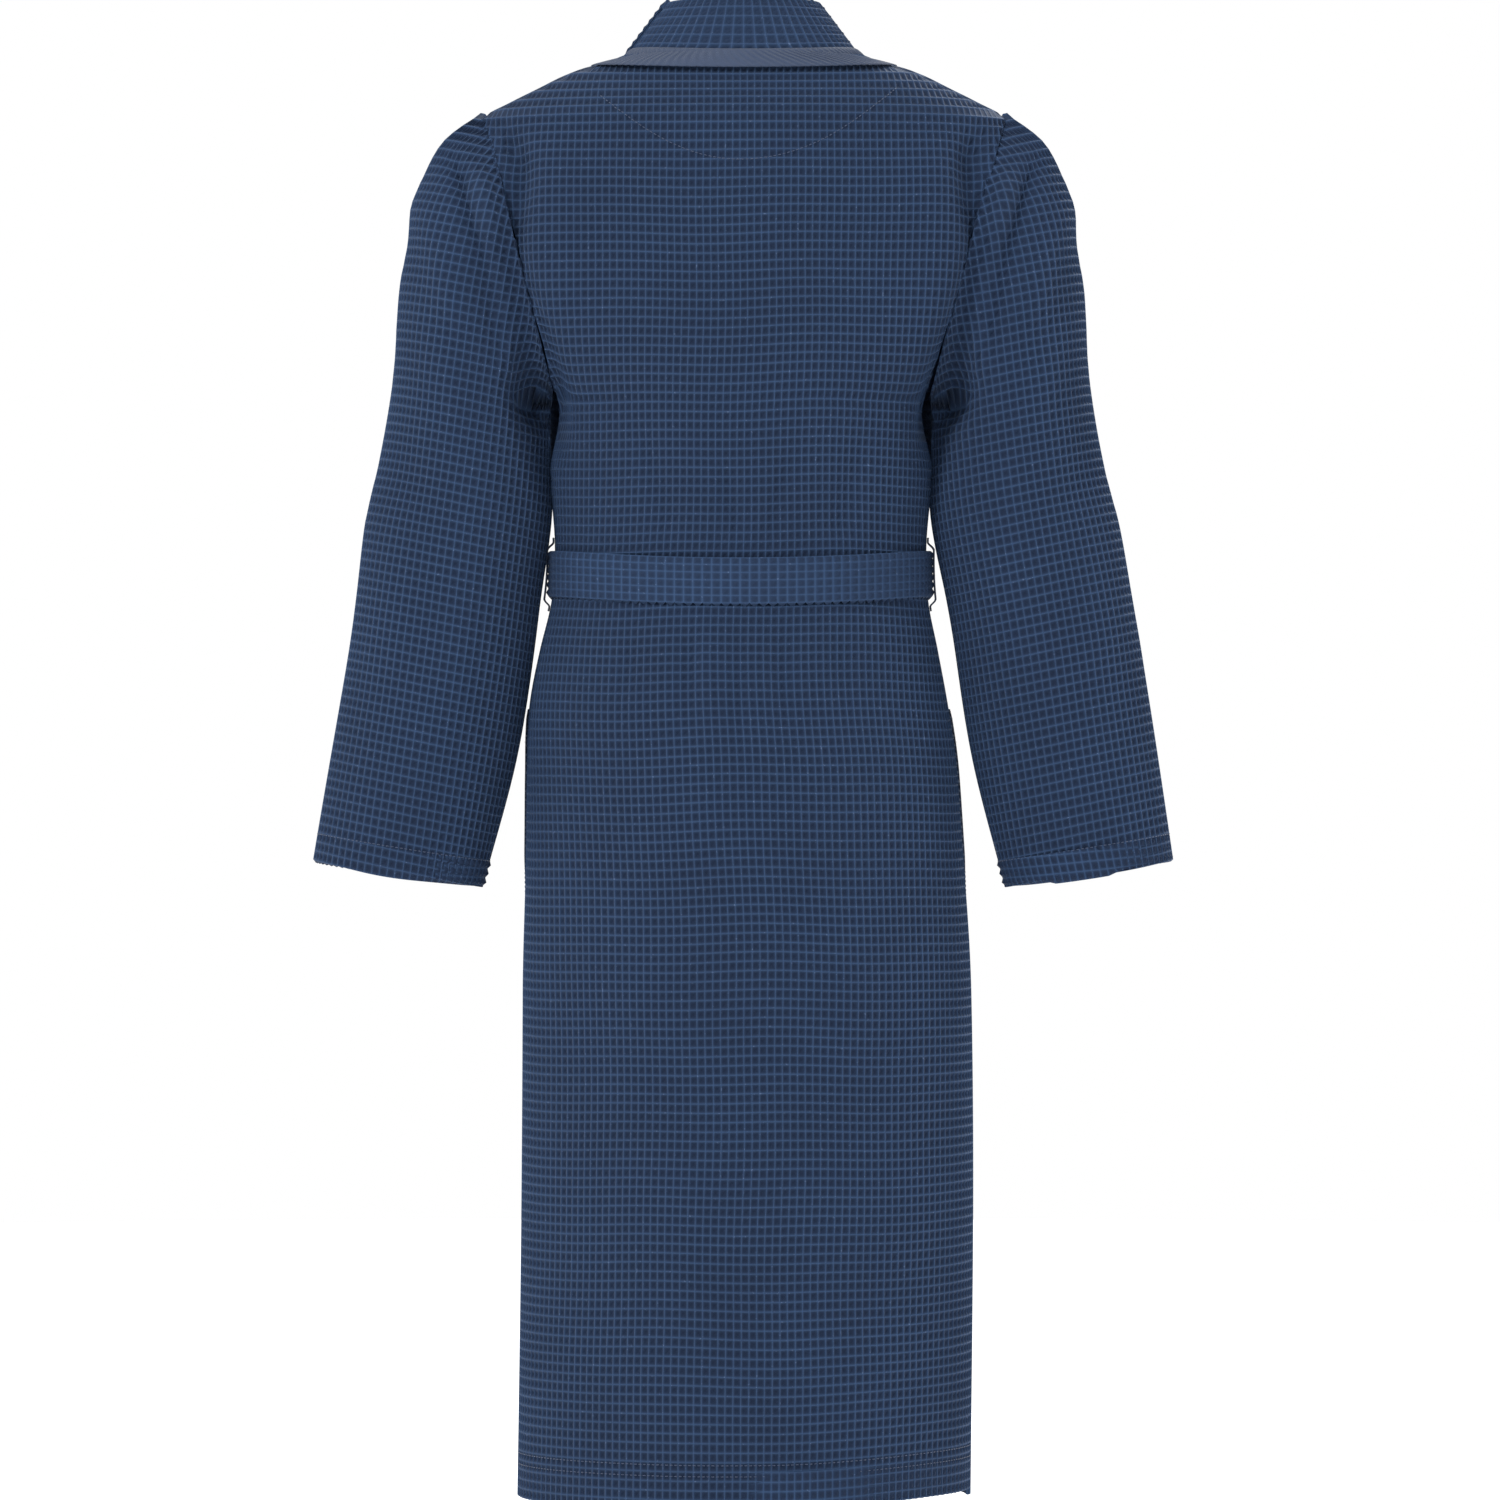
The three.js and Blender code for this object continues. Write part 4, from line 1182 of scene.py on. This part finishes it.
def sleeve_relief(points: Array) -> Array:
    """Soft folds that run down from the armhole."""
    x, z = np.abs(points[:, 0]), points[:, 2]
    back = np.where(points[:, 1] > 0, 1.0, 0.6)
    lift = 0.0012 * np.sin(17.0 * x + 14.0 * z + 3.0 * points[:, 0])
    for crease in SLEEVE_CREASES:
        lift = lift + crease.lift(x, z) * back
    return lift * smoothstep(0.0, 0.04, ROBE.shoulder - z + 0.02)


class Strap:
    """A folded strap: a flat tube of cloth along a path."""

    def __init__(self, name: str, width: float, thickness: float, length: float,
                 frame_at: Callable[[Array], tuple[Array, Array, Array]],
                 weave: Weave = WAFFLE.turned()) -> None:
        """Keeps the strap's sizes.

        Args:
            name: the finished piece's name.
            width: across the strap.
            thickness: over both layers.
            length: along it.
            frame_at: gives the middle, width direction and face direction at distances along it.
            weave: its cells, whose first size runs along the strap.
        """
        self.radius = 0.5 * thickness
        self.flat = width - thickness
        self.frame_at = frame_at
        self.size = (width, length)
        self.girth = 2 * self.flat + 2 * math.pi * self.radius
        corners = [(0.0, 0.0), (length, 0.0), (length, self.girth), (0.0, self.girth)]
        self.cut = Cut(name, corners, self.surface, weave, thickness=0.0, weld=True)

    def surface(self, across: Array, along: Array) -> Array:
        """Points at distances along the strap and round its section."""
        girth = along % self.girth
        half, r, flat = 0.5 * self.flat, self.radius, self.flat
        bend = math.pi * r
        turn = np.clip((girth - flat) / r, 0, math.pi)
        back_turn = np.clip((girth - 2 * flat - bend) / r, 0, math.pi)
        up = np.where(girth < flat, girth - half, half + r * np.sin(turn))
        up = np.where(girth > flat + bend, half - (girth - flat - bend), up)
        up = np.where(girth > 2 * flat + bend, -half - r * np.sin(back_turn), up)
        out = np.where(girth < flat, r, r * np.cos(turn))
        out = np.where(girth > 2 * flat + bend, -r * np.cos(back_turn), out)
        middle, wide, face = self.frame_at(across)
        return middle + wide * up[:, None] + face * out[:, None]

    def build(self) -> bpy.types.Object:
        """Makes the strap, with its ends closed."""
        piece = self.cut.build()
        bm = bmesh.new()
        bm.from_mesh(piece.data)
        bmesh.ops.holes_fill(bm, edges=[e for e in bm.edges if e.is_boundary])
        bmesh.ops.recalc_face_normals(bm, faces=bm.faces[:])
        bm.to_mesh(piece.data)
        bm.free()
        return piece


def belt_frame(distance: Array) -> tuple[Array, Array, Array]:
    """The belt's run round the waist, from the centre front to the wearer's right and back."""
    turn = BELT_RING_TURNS(distance)
    z = ROBE.belt - BELT_BACK_DIP * np.maximum(np.cos(turn), 0.0) ** 2
    to_front = smoothstep(-0.1, 0.45, -np.cos(turn))
    lift = BELT_OFF_BACK + to_front * (BELT_OFF_FRONT - BELT_OFF_BACK)
    at_back = np.cos(turn) > 0
    points = np.where(at_back[:, None], ROBE.on_wall(Wall.BACK, turn, z, lift),
                      ROBE.on_wall(Wall.FRONT, math.pi - turn, z, lift))
    roundness = 0.86
    ahead = np.stack([np.sin(turn), np.cos(turn) * roundness, 0 * turn], axis=1)
    face = ahead / np.linalg.norm(ahead, axis=1, keepdims=True)
    wide = np.tile([0.0, 0.0, 1.0], (len(turn), 1))
    return points, wide, face


def _belt_turns() -> tuple[Callable[[Array], Array], float]:
    """The turn of the belt at each distance round it, and its whole length."""
    turns = np.linspace(-math.pi, math.pi, 721)
    z = np.full(len(turns), ROBE.belt)
    mean_lift = 0.005
    at_back = (np.cos(turns) > 0)[:, None]
    points = np.where(at_back, ROBE.on_wall(Wall.BACK, turns, z, mean_lift),
                      ROBE.on_wall(Wall.FRONT, math.pi - turns, z, mean_lift))
    lengths = np.concatenate([[0], np.cumsum(np.linalg.norm(np.diff(points, axis=0), axis=1))])
    total = float(lengths[-1])

    def at(distance: Array) -> Array:
        """The turn at each distance."""
        return np.interp(distance % total, lengths, turns)

    return at, total


BELT_RING_TURNS, BELT_RING_LENGTH = _belt_turns()


def unit(x: float, y: float, z: float) -> Array:
    """A unit vector."""
    vector = np.array([x, y, z], float)
    return vector / np.linalg.norm(vector)


# ---- The robe's pieces ------------------------------------------------------------------------
class Maker:
    """Makes and dresses every piece."""

    def __init__(self) -> None:
        """Prepares the finishes."""
        self.finishes = Finishes()

    def finish(self, piece: bpy.types.Object, material: bpy.types.Material, nodes: Sequence[str],
               body: str = "gown") -> bpy.types.Object:
        """Dresses a piece, puts it on its body and takes the place of its nodes."""
        dress(piece, material)
        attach(piece, body)
        if nodes:
            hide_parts(*nodes)
        return piece

    def stitches(self, cut: Cut, name: str, path: Path, body: str = "gown", dark: bool = True,
                 **sizes: float) -> bpy.types.Object:
        """Sews a run of stitches and puts it on its body."""
        piece = sew(cut, name, path, **sizes)
        thread = self.finishes.dark_thread if dark else self.finishes.thread
        return self.finish(piece, thread, (), body)

    def back(self) -> Cut:
        """The back panel, its turned hem and the stitching that shows on it."""
        rows = np.linspace(0.0, ROBE.neck, 90)
        edge = back_edge(rows)
        low = -turned_length(HEM_DEPTH)
        right = [(edge[0], low)] + list(zip(edge, rows))
        outline = right + [(-x, z) for x, z in reversed(right)]
        cut = Cut("back", outline, back_point, relief=wall_relief(Wall.BACK), inverted=True)
        piece = self.finish(cut.build(), self.finishes.body,
                            ("back_panel", "back_hem", "shoulder_seam_left", "shoulder_seam_right"))
        threads = [
            self.stitches(cut, name, [(-HEM_STITCH_REACH, row), (HEM_STITCH_REACH, row)])
            for name, row in (("back hem stitches", HEM_DEPTH - HEM_STITCH_DROP),
                              ("back hem top stitches", HEM_DEPTH + 0.006))
        ]
        xs = np.linspace(-0.125, 0.118, 40)
        arc = [back_place(x, facing_foot(x)) for x in xs]
        threads.append(self.stitches(cut, "facing stitches", arc))
        cut.size()
        return cut

    def back_inside(self) -> None:
        """The half-moon facing, the label on it and the seam allowances."""
        xs = np.linspace(-FACING_HALF, FACING_HALF, 36)
        low = [back_place(x, facing_foot(x)) for x in xs]
        tops = [min(1.1925, float(1.1935 - max(abs(x) - 0.0935, 0) * 0.235 - 0.0015)) for x in xs]
        high = [back_place(x, z) for x, z in zip(xs, tops)]
        facing = Cut("neck facing", low + high[::-1], partial(back_point, lift=-FACING_DEPTH), FACING_WAFFLE,
                     relief=inner_relief, thickness=THIN)
        piece = self.finish(facing.build(), self.finishes.inside, ("back_neck_facing",))
        facing.size()
        low_corner, high_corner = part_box("neck_label")
        z0, z1 = low_corner[2] - ROBE.hem_z, high_corner[2] - ROBE.hem_z
        half = 0.031
        label = Cut("label", [(-half, z0), (half, z0), (half, z1), (-half, z1)],
                    partial(back_point, lift=-LABEL_DEPTH), LABEL_WEAVE, relief=inner_relief,
                    thickness=0.0007)
        self.finish(label.build(), self.finishes.satin, ("neck_label",))
        for side in Side:
            rows = np.linspace(0.05, 0.90, 40)
            edge = back_edge(rows) - 0.001
            inner = [(side.value * (x - ALLOWANCE_WIDTH), z) for x, z in zip(edge, rows)]
            outer = [(side.value * x, z) for x, z in zip(edge, rows)]
            seam = Cut(f"{side.word} side seam", inner + outer[::-1],
                       partial(back_point, lift=-ALLOWANCE_DEPTH), ALLOWANCE_WEAVE, relief=inner_relief,
                       thickness=0.001)
            self.finish(seam.build(), self.finishes.inside, (f"side_seam_{side.word}",))

    def fronts(self) -> None:
        """The front panels with their turned hems, their bands and their pockets."""
        under_band = 0.004
        for side in Side:
            rows = np.linspace(0.0, ROBE.neck - 0.002, 90)
            seam, band = front_arcs(rows)
            low = -turned_length(HEM_DEPTH)
            outer = [(seam[0] - SEAM_GAP, low)] + [(a - SEAM_GAP, z) for a, z in zip(seam, rows)]
            inner = [(band[0] - under_band, low)]
            inner += [(min(b - under_band, a - 0.001), z) for a, b, z in zip(seam, band, rows)]
            cut = Cut(f"{side.word} front", outer + inner[::-1], partial(front_point, side),
                      relief=wall_relief(Wall.FRONT), inverted=side is Side.RIGHT)
            piece = self.finish(cut.build(), self.finishes.body,
                                (f"front_{side.word}_panel", f"front_{side.word}_hem"))
            row = HEM_DEPTH - HEM_STITCH_DROP
            threads = [self.stitches(cut, f"{side.word} front hem stitches",
                                     [(band[0] + 0.002, row), (seam[0] - 0.004, row)])]
            cut.size()
            self.band(side)
            self.pocket(side)

    def band(self, side: Side) -> None:
        """One front band, folded double and stitched along both edges."""
        width = BAND_WIDTH + turned_length(BAND_WIDTH - BAND_TURNING_GAP)
        foot = 0.001
        outline = [(0.0, foot), (width, foot), (width, BAND_TOP), (0.0, BAND_TOP)]
        cut = Cut(f"{side.word} front band", outline, partial(band_point, side), WAFFLE.turned(),
                  thickness=FOLDED_LAYER, inverted=side is Side.LEFT)
        piece = self.finish(cut.build(), self.finishes.band, (f"front_band_{side.word}",))
        rows = np.linspace(0.003, 1.192, 60)
        threads = [
            self.stitches(cut, f"{side.word} band {name} stitches", [(column, z) for z in rows],
                          dark=False, lift=0.0003)
            for name, column in (("inner", 0.003), ("edge", BAND_WIDTH - 0.005))
        ]

    def pocket(self, side: Side) -> None:
        """One patch pocket, standing off for the hand, with its top hem turned in."""
        width, height, top, hem = 0.140, 0.175, 0.655, 0.028
        from_side, stand_off, swelling = 0.020, 0.0028, 0.013
        quarter = math.pi * 0.5 * 0.157 + 0.016

        def surface(across: Array, along: Array) -> Array:
            """The pocket's place on its front, swollen in the middle and turned in at the top."""
            place, depth = turned(height - along)
            z = top - place
            seam, band = front_arcs(z)
            share = (from_side + across) / quarter
            u = np.clip(across / width, 0, 1)
            up = np.minimum(1.0, 3.0 * np.clip((z - top + height) / height, 0, 1))
            from_edge = np.minimum(1, 4 * np.minimum(u, 1 - u))
            swell = swelling * np.sin(from_edge * math.pi / 2) * np.sin(up * math.pi / 2)
            lift = stand_off + swell * 0.92 - depth
            return front_point(side, seam - share * (seam - band), z, lift)

        over = turned_length(hem)
        outline = [(0, 0), (width, 0), (width, height + over), (0, height + over)]
        cut = Cut(f"{side.word} pocket", outline, surface, inverted=side is Side.LEFT)
        piece = self.finish(cut.build(), self.finishes.body,
                            (f"pocket_{side.word}", f"pocket_hem_{side.word}"))
        edge = 0.004
        mouth, row = height - 0.002, height - hem
        round_path = [(edge, mouth), (edge, edge), (width - edge, edge), (width - edge, mouth)]
        threads = [
            self.stitches(cut, f"{side.word} pocket stitches", round_path),
            self.stitches(cut, f"{side.word} pocket hem stitches", [(0.003, row), (width - 0.003, row)]),
        ]
        cut.size()

    def collar(self) -> None:
        """The standing band at the back neck, and the bound seam at its foot."""
        width = COLLAR_HEIGHT + turned_length(COLLAR_HEIGHT - BAND_TURNING_GAP)
        outline = [(-COLLAR_REACH, 0.0), (COLLAR_REACH, 0.0), (COLLAR_REACH, width), (-COLLAR_REACH, width)]
        cut = Cut("collar band", outline, collar_point, WAFFLE.turned(), thickness=FOLDED_LAYER,
                  inverted=True)
        piece = self.finish(cut.build(), self.finishes.band, ("collar_band_back",))
        cut.size()

        half, height, rib = 0.110, 0.0125, 0.0045
        below, stand_off, roundness, rib_height = 0.003, 0.0008, 0.0021, 0.0007

        def binding(across: Array, along: Array) -> Array:
            """The binding's rounded face, with its slanting ribs."""
            share = np.clip(along / height, 0, 1)
            swell = roundness * np.sin(math.pi * share) ** 0.6
            slant = np.sin(2 * math.pi * (across - 0.9 * along) / rib)
            ribs = rib_height * slant * np.sin(math.pi * share) ** 0.5
            return collar_point(across, along - below, stand_off + swell + ribs)

        trim = Cut("neck binding", [(-half, 0.0), (half, 0.0), (half, height), (-half, height)], binding,
                   BINDING_WEAVE, thickness=0.0009, inverted=True)
        self.finish(trim.build(), self.finishes.binding, ("neck_binding",))

    def sleeves(self) -> None:
        """The sleeves with their turned cuffs."""
        turns = np.linspace(-math.pi, math.pi, 121)
        cap = np.interp(np.abs(turns), SLEEVE.turns, SLEEVE.cap)
        cap_line = list(zip(SLEEVE.table.arc(cap, turns), cap))
        rows = np.linspace(cap[0], SLEEVE.inner_end, 30)[1:]
        half = SLEEVE.table.arc(rows, np.full(len(rows), math.pi))
        end = SLEEVE.edge(turns)
        over = turned_length(CUFF_HEM_DEPTH)
        cuff_line = list(zip(SLEEVE.table.arc(np.minimum(end, SLEEVE.LENGTH), turns), end + over))
        outline = cap_line + list(zip(half, rows)) + cuff_line[::-1] + list(zip(-half, rows))[::-1]
        for side in Side:
            cut = Cut(f"{side.word} sleeve", outline, partial(SLEEVE.point, side), relief=sleeve_relief,
                      inverted=side is Side.LEFT, weld=True)
            body = f"{side.word}_sleeve"
            piece = dress(cut.build(), self.finishes.body)
            start, stop = (ROBE.place(np.array([side.value * x, 0.0, z])) for x, z in SLEEVE.BEND)
            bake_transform(piece)
            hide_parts(f"sleeve_{side.word}", f"cuff_hem_{side.word}")
            ring = np.linspace(-math.pi, math.pi, 80)
            level = SLEEVE.edge(ring) - CUFF_HEM_DEPTH
            path = list(zip(SLEEVE.table.arc(level, ring), level))
            threads = [self.stitches(cut, f"{side.word} cuff stitches", path, body)]
            cut.size()

    def belt(self) -> None:
        """The belt round the waist, its loops, its knot and its two ends."""
        wrap = Strap("belt", BELT_WIDTH, BELT_THICKNESS, BELT_RING_LENGTH, belt_frame)
        piece = self.finish(wrap.build(), self.finishes.band, ("belt_wrap",))
        stations = np.linspace(0.002, BELT_RING_LENGTH - 0.002, 260)
        threads = [
            self.stitches(wrap.cut, f"belt {name} stitches", [(s, row) for s in stations],
                          dark=False, lift=0.0004)
            for name, row in (("lower", BELT_STITCH_INSET), ("upper", wrap.flat - BELT_STITCH_INSET))
        ]
        for side in Side:
            self.belt_loop(side)
            self.tail(side)
        self.knot()

    def belt_loop(self, side: Side) -> None:
        """One belt loop at the side seam, bridging the belt."""
        reach, half = 0.0305, 0.006
        over_belt, at_foot = 0.0071, 0.0018

        def surface(across: Array, along: Array) -> Array:
            """The loop's run down the side seam, out over the belt and back."""
            share = np.abs(along / (2 * reach))
            lift = over_belt + (at_foot - over_belt) * smoothstep(0.33, 0.44, share)
            turn = side.value * (math.pi / 2 - across / ROBE.waist_depth)
            z = ROBE.belt + along
            return np.where((np.abs(turn) < math.pi / 2)[:, None], ROBE.on_wall(Wall.BACK, turn, z, lift),
                            ROBE.on_wall(Wall.FRONT, side.value * (math.pi - np.abs(turn)), z, lift))

        outline = [(-half, -reach), (half, -reach), (half, reach), (-half, reach)]
        cut = Cut(f"{side.word} belt loop", outline, surface, TAPE_WEAVE, thickness=THIN,
                  inverted=side is Side.LEFT)
        self.finish(cut.build(), self.finishes.tape, (f"belt_loop_{side.word}",))

    def tail(self, side: Side) -> None:
        """One hanging end of the belt."""
        length, top = 0.437, 0.746
        clear, from_knot = 0.0042, -0.1181
        hang, spread = 0.021, 0.024

        def frame(distance: Array) -> tuple[Array, Array, Array]:
            """The hanging end's run down the front, with a slight twist."""
            v = distance / length
            z = top - distance
            front = -(ROBE.depth(Wall.FRONT, z) + 0.0053) - clear
            y = np.minimum(from_knot, front) - 0.0006 * np.sin(9 * v + side.value)
            x = side.value * (hang + spread * v) + 0.0015 * np.sin(6 * v + side.value)
            twist = 0.10 * np.sin(5 * v + 2 * side.value)
            wide = np.stack([np.cos(twist), np.sin(twist), 0 * v], axis=1)
            face = np.stack([np.sin(twist), -np.cos(twist), 0 * v], axis=1)
            return np.stack([x, y, z], axis=1), wide, face

        strap = Strap(f"{side.word} belt end", BELT_WIDTH, BELT_THICKNESS, length, frame)
        body = f"{side.word}_tail"
        piece = self.finish(strap.build(), self.finishes.band,
                            (f"belt_tail_{side.word}",), body)
        end = length - 0.006
        rows = np.linspace(0.016, end, 110)
        inner, outer = BELT_STITCH_INSET, strap.flat - BELT_STITCH_INSET
        paths = {"inner": [(s, inner) for s in rows], "outer": [(s, outer) for s in rows],
                 "end": [(end, inner), (end, outer)]}
        threads = [self.stitches(strap.cut, f"{side.word} belt end {name} stitches", path, body, dark=False)
                   for name, path in paths.items()]

    def knot(self) -> None:
        """The knot: a strap wrapped over, and the two strands that go into it."""
        centre = np.array([0.0, -0.1269, ROBE.belt])
        girth = 0.115
        width, thickness = 0.037, 0.0060
        tall, thick, squareness = 0.0205, 0.0088, 0.85

        def wrap(distance: Array) -> tuple[Array, Array, Array]:
            """The flattened ring that the wrapping strap follows."""
            turn = 2 * math.pi * distance / girth
            up = tall * np.sign(np.sin(turn)) * np.abs(np.sin(turn)) ** squareness
            out = thick * np.sign(np.cos(turn)) * np.abs(np.cos(turn)) ** squareness
            middle = centre + np.stack([0.22 * up, -out, up], axis=1)
            face = np.stack([0 * turn, -np.cos(turn) * 1.4, np.sin(turn)], axis=1)
            face /= np.linalg.norm(face, axis=1, keepdims=True)
            pinch = 0.80 + 0.20 * np.sin(turn) ** 2
            wide = unit(1.0, 0.0, -0.25) * pinch[:, None]
            return middle, wide, face

        over = Strap("knot wrap", width, thickness, girth, wrap)
        piece = self.finish(over.build(), self.finishes.band, ("belt_knot",))
        strands = []
        for side in Side:
            strand = self.strand(side, centre)
            strands.append(self.finish(strand.build(), self.finishes.band, ()))
        log.info("knot: %s and %d strands", piece.name, len(strands))

    @staticmethod
    def strand(side: Side, centre: Array) -> Strap:
        """One strand that runs from the belt into the knot."""
        length, start = 0.040, 0.0295

        def frame(distance: Array) -> tuple[Array, Array, Array]:
            """The strand's run from the belt in towards the knot's middle."""
            v = distance / length
            x = side.value * (start - distance * 0.9)
            y = centre[1] + 0.006 - 0.009 * np.sin(math.pi * np.minimum(v * 1.3, 1.0)) - 0.002 * v
            z = centre[2] + side.value * 0.002 - 0.002 * v
            pinch = 1.0 - 0.35 * smoothstep(0.2, 1.0, v)
            wide = np.stack([0 * v, 0.12 + 0 * v, np.ones_like(v)], axis=1) * pinch[:, None]
            face = np.stack([side.value * 0.3 * (0.5 - v), -np.ones_like(v), 0 * v], axis=1)
            return np.stack([x, y, z], axis=1), wide, face

        return Strap(f"{side.word} knot strand", 0.040, 0.011, length, frame)

    def hanger(self) -> None:
        """The hanging loop inside the back neck: a bent cotton tape."""
        foot, top, half, radius = -0.0364, 0.0008, 0.0192, 0.010
        straight = top - radius - foot
        corner = 0.5 * math.pi * radius
        across = 2 * (half - radius)
        length = 2 * straight + 2 * corner + across

        def frame(distance: Array) -> tuple[Array, Array, Array]:
            """The tape's run up, across and down again, round two bends."""
            s = np.clip(distance, 0, length)
            first = np.clip((s - straight) / radius, 0, math.pi / 2)
            second = np.clip((s - straight - corner - across) / radius, 0, math.pi / 2)
            level = np.clip(s - straight - corner, 0, across)
            down = np.clip(s - straight - 2 * corner - across, 0, straight)
            x = -half + radius * (1 - np.cos(first)) + level + radius * np.sin(second)
            z = foot + np.clip(s, 0, straight) + radius * np.sin(first) - radius * (1 - np.cos(second)) - down
            turn = first + second
            y = -0.316 * z
            middle = np.stack([x, y - ROBE.seam_y, z - ROBE.hem_z], axis=1)
            face = np.stack([-np.cos(turn), 0 * turn, np.sin(turn)], axis=1)
            wide = np.tile([0.0, 1.0, 0.0], (len(s), 1))
            return middle, wide, face

        strap = Strap("hanging tape", 0.008, 0.0015, length, frame, TAPE_WEAVE)
        self.finish(strap.build(), self.finishes.tape, ("hanger_loop",))


# ---- Studio -----------------------------------------------------------------------------------
class Studio:
    """The camera, the light and the floor."""

    LENS = 173.5
    DISTANCE = 6.0
    EYE = (-0.005, -0.596)
    AIM = (0.0, 0.0, -0.6)
    FLOOR_DROP = 0.35
    FLOOR_RADIUS = 9.0

    def __init__(self) -> None:
        """Sets all of them up."""
        self._camera()
        self._light()
        self._floor()

    def _camera(self) -> None:
        """Looks at the robe's back, level, from six metres."""
        data = bpy.data.cameras.new("camera")
        data.lens = self.LENS
        data.sensor_width = 36.0
        camera = bpy.data.objects.new("camera", data)
        camera.location = (self.EYE[0], self.DISTANCE + ROBE.seam_y, self.EYE[1])
        camera.rotation_euler = (math.radians(90), 0.0, math.radians(180))
        bpy.context.collection.objects.link(camera)
        bpy.context.scene.camera = camera

    def _light(self) -> None:
        """White surroundings, a large soft light on either side of the camera, and one at the front."""
        world = bpy.data.worlds.new("studio")
        world.use_nodes = True
        background = world.node_tree.nodes["Background"]
        background.inputs["Color"].default_value = (1, 1, 1, 1)
        background.inputs["Strength"].default_value = 1.0
        bpy.context.scene.world = world
        bpy.context.scene.view_settings.view_transform = "Standard"
        for name, place, size, power in (
            ("key", (1.9, 2.4, 1.7), 1.0, 105.0),
            ("fill", (-2.6, 2.0, 0.3), 1.6, 22.0),
            ("front key", (-1.6, -2.6, 1.6), 1.1, 100.0),
        ):
            data = bpy.data.lights.new(name, "AREA")
            data.size = size
            data.energy = power
            lamp = bpy.data.objects.new(name, data)
            lamp.location = place
            aim = Vector(self.AIM) - Vector(place)
            lamp.rotation_euler = aim.to_track_quat("-Z", "Y").to_euler()
            bpy.context.collection.objects.link(lamp)

    def _floor(self) -> None:
        """A pale paper floor below the hanging robe."""
        bm = bmesh.new()
        bmesh.ops.create_circle(bm, cap_ends=True, radius=self.FLOOR_RADIUS, segments=96)
        bmesh.ops.translate(bm, verts=bm.verts[:], vec=(0.0, 0.0, ROBE.hem_z - self.FLOOR_DROP))
        mesh = bpy.data.meshes.new("floor")
        bm.to_mesh(mesh)
        bm.free()
        floor = bpy.data.objects.new("floor", mesh)
        bpy.context.collection.objects.link(floor)
        mesh.materials.append(FloorFinish().make())


def main() -> None:
    """Builds the robe and its studio."""
    Studio()
    maker = Maker()
    maker.back()
    maker.back_inside()
    maker.fronts()
    maker.collar()
    maker.sleeves()
    maker.belt()
    maker.hanger()


if __name__ == "__main__":
    logging.basicConfig(level=logging.INFO, format="%(message)s")
    main()
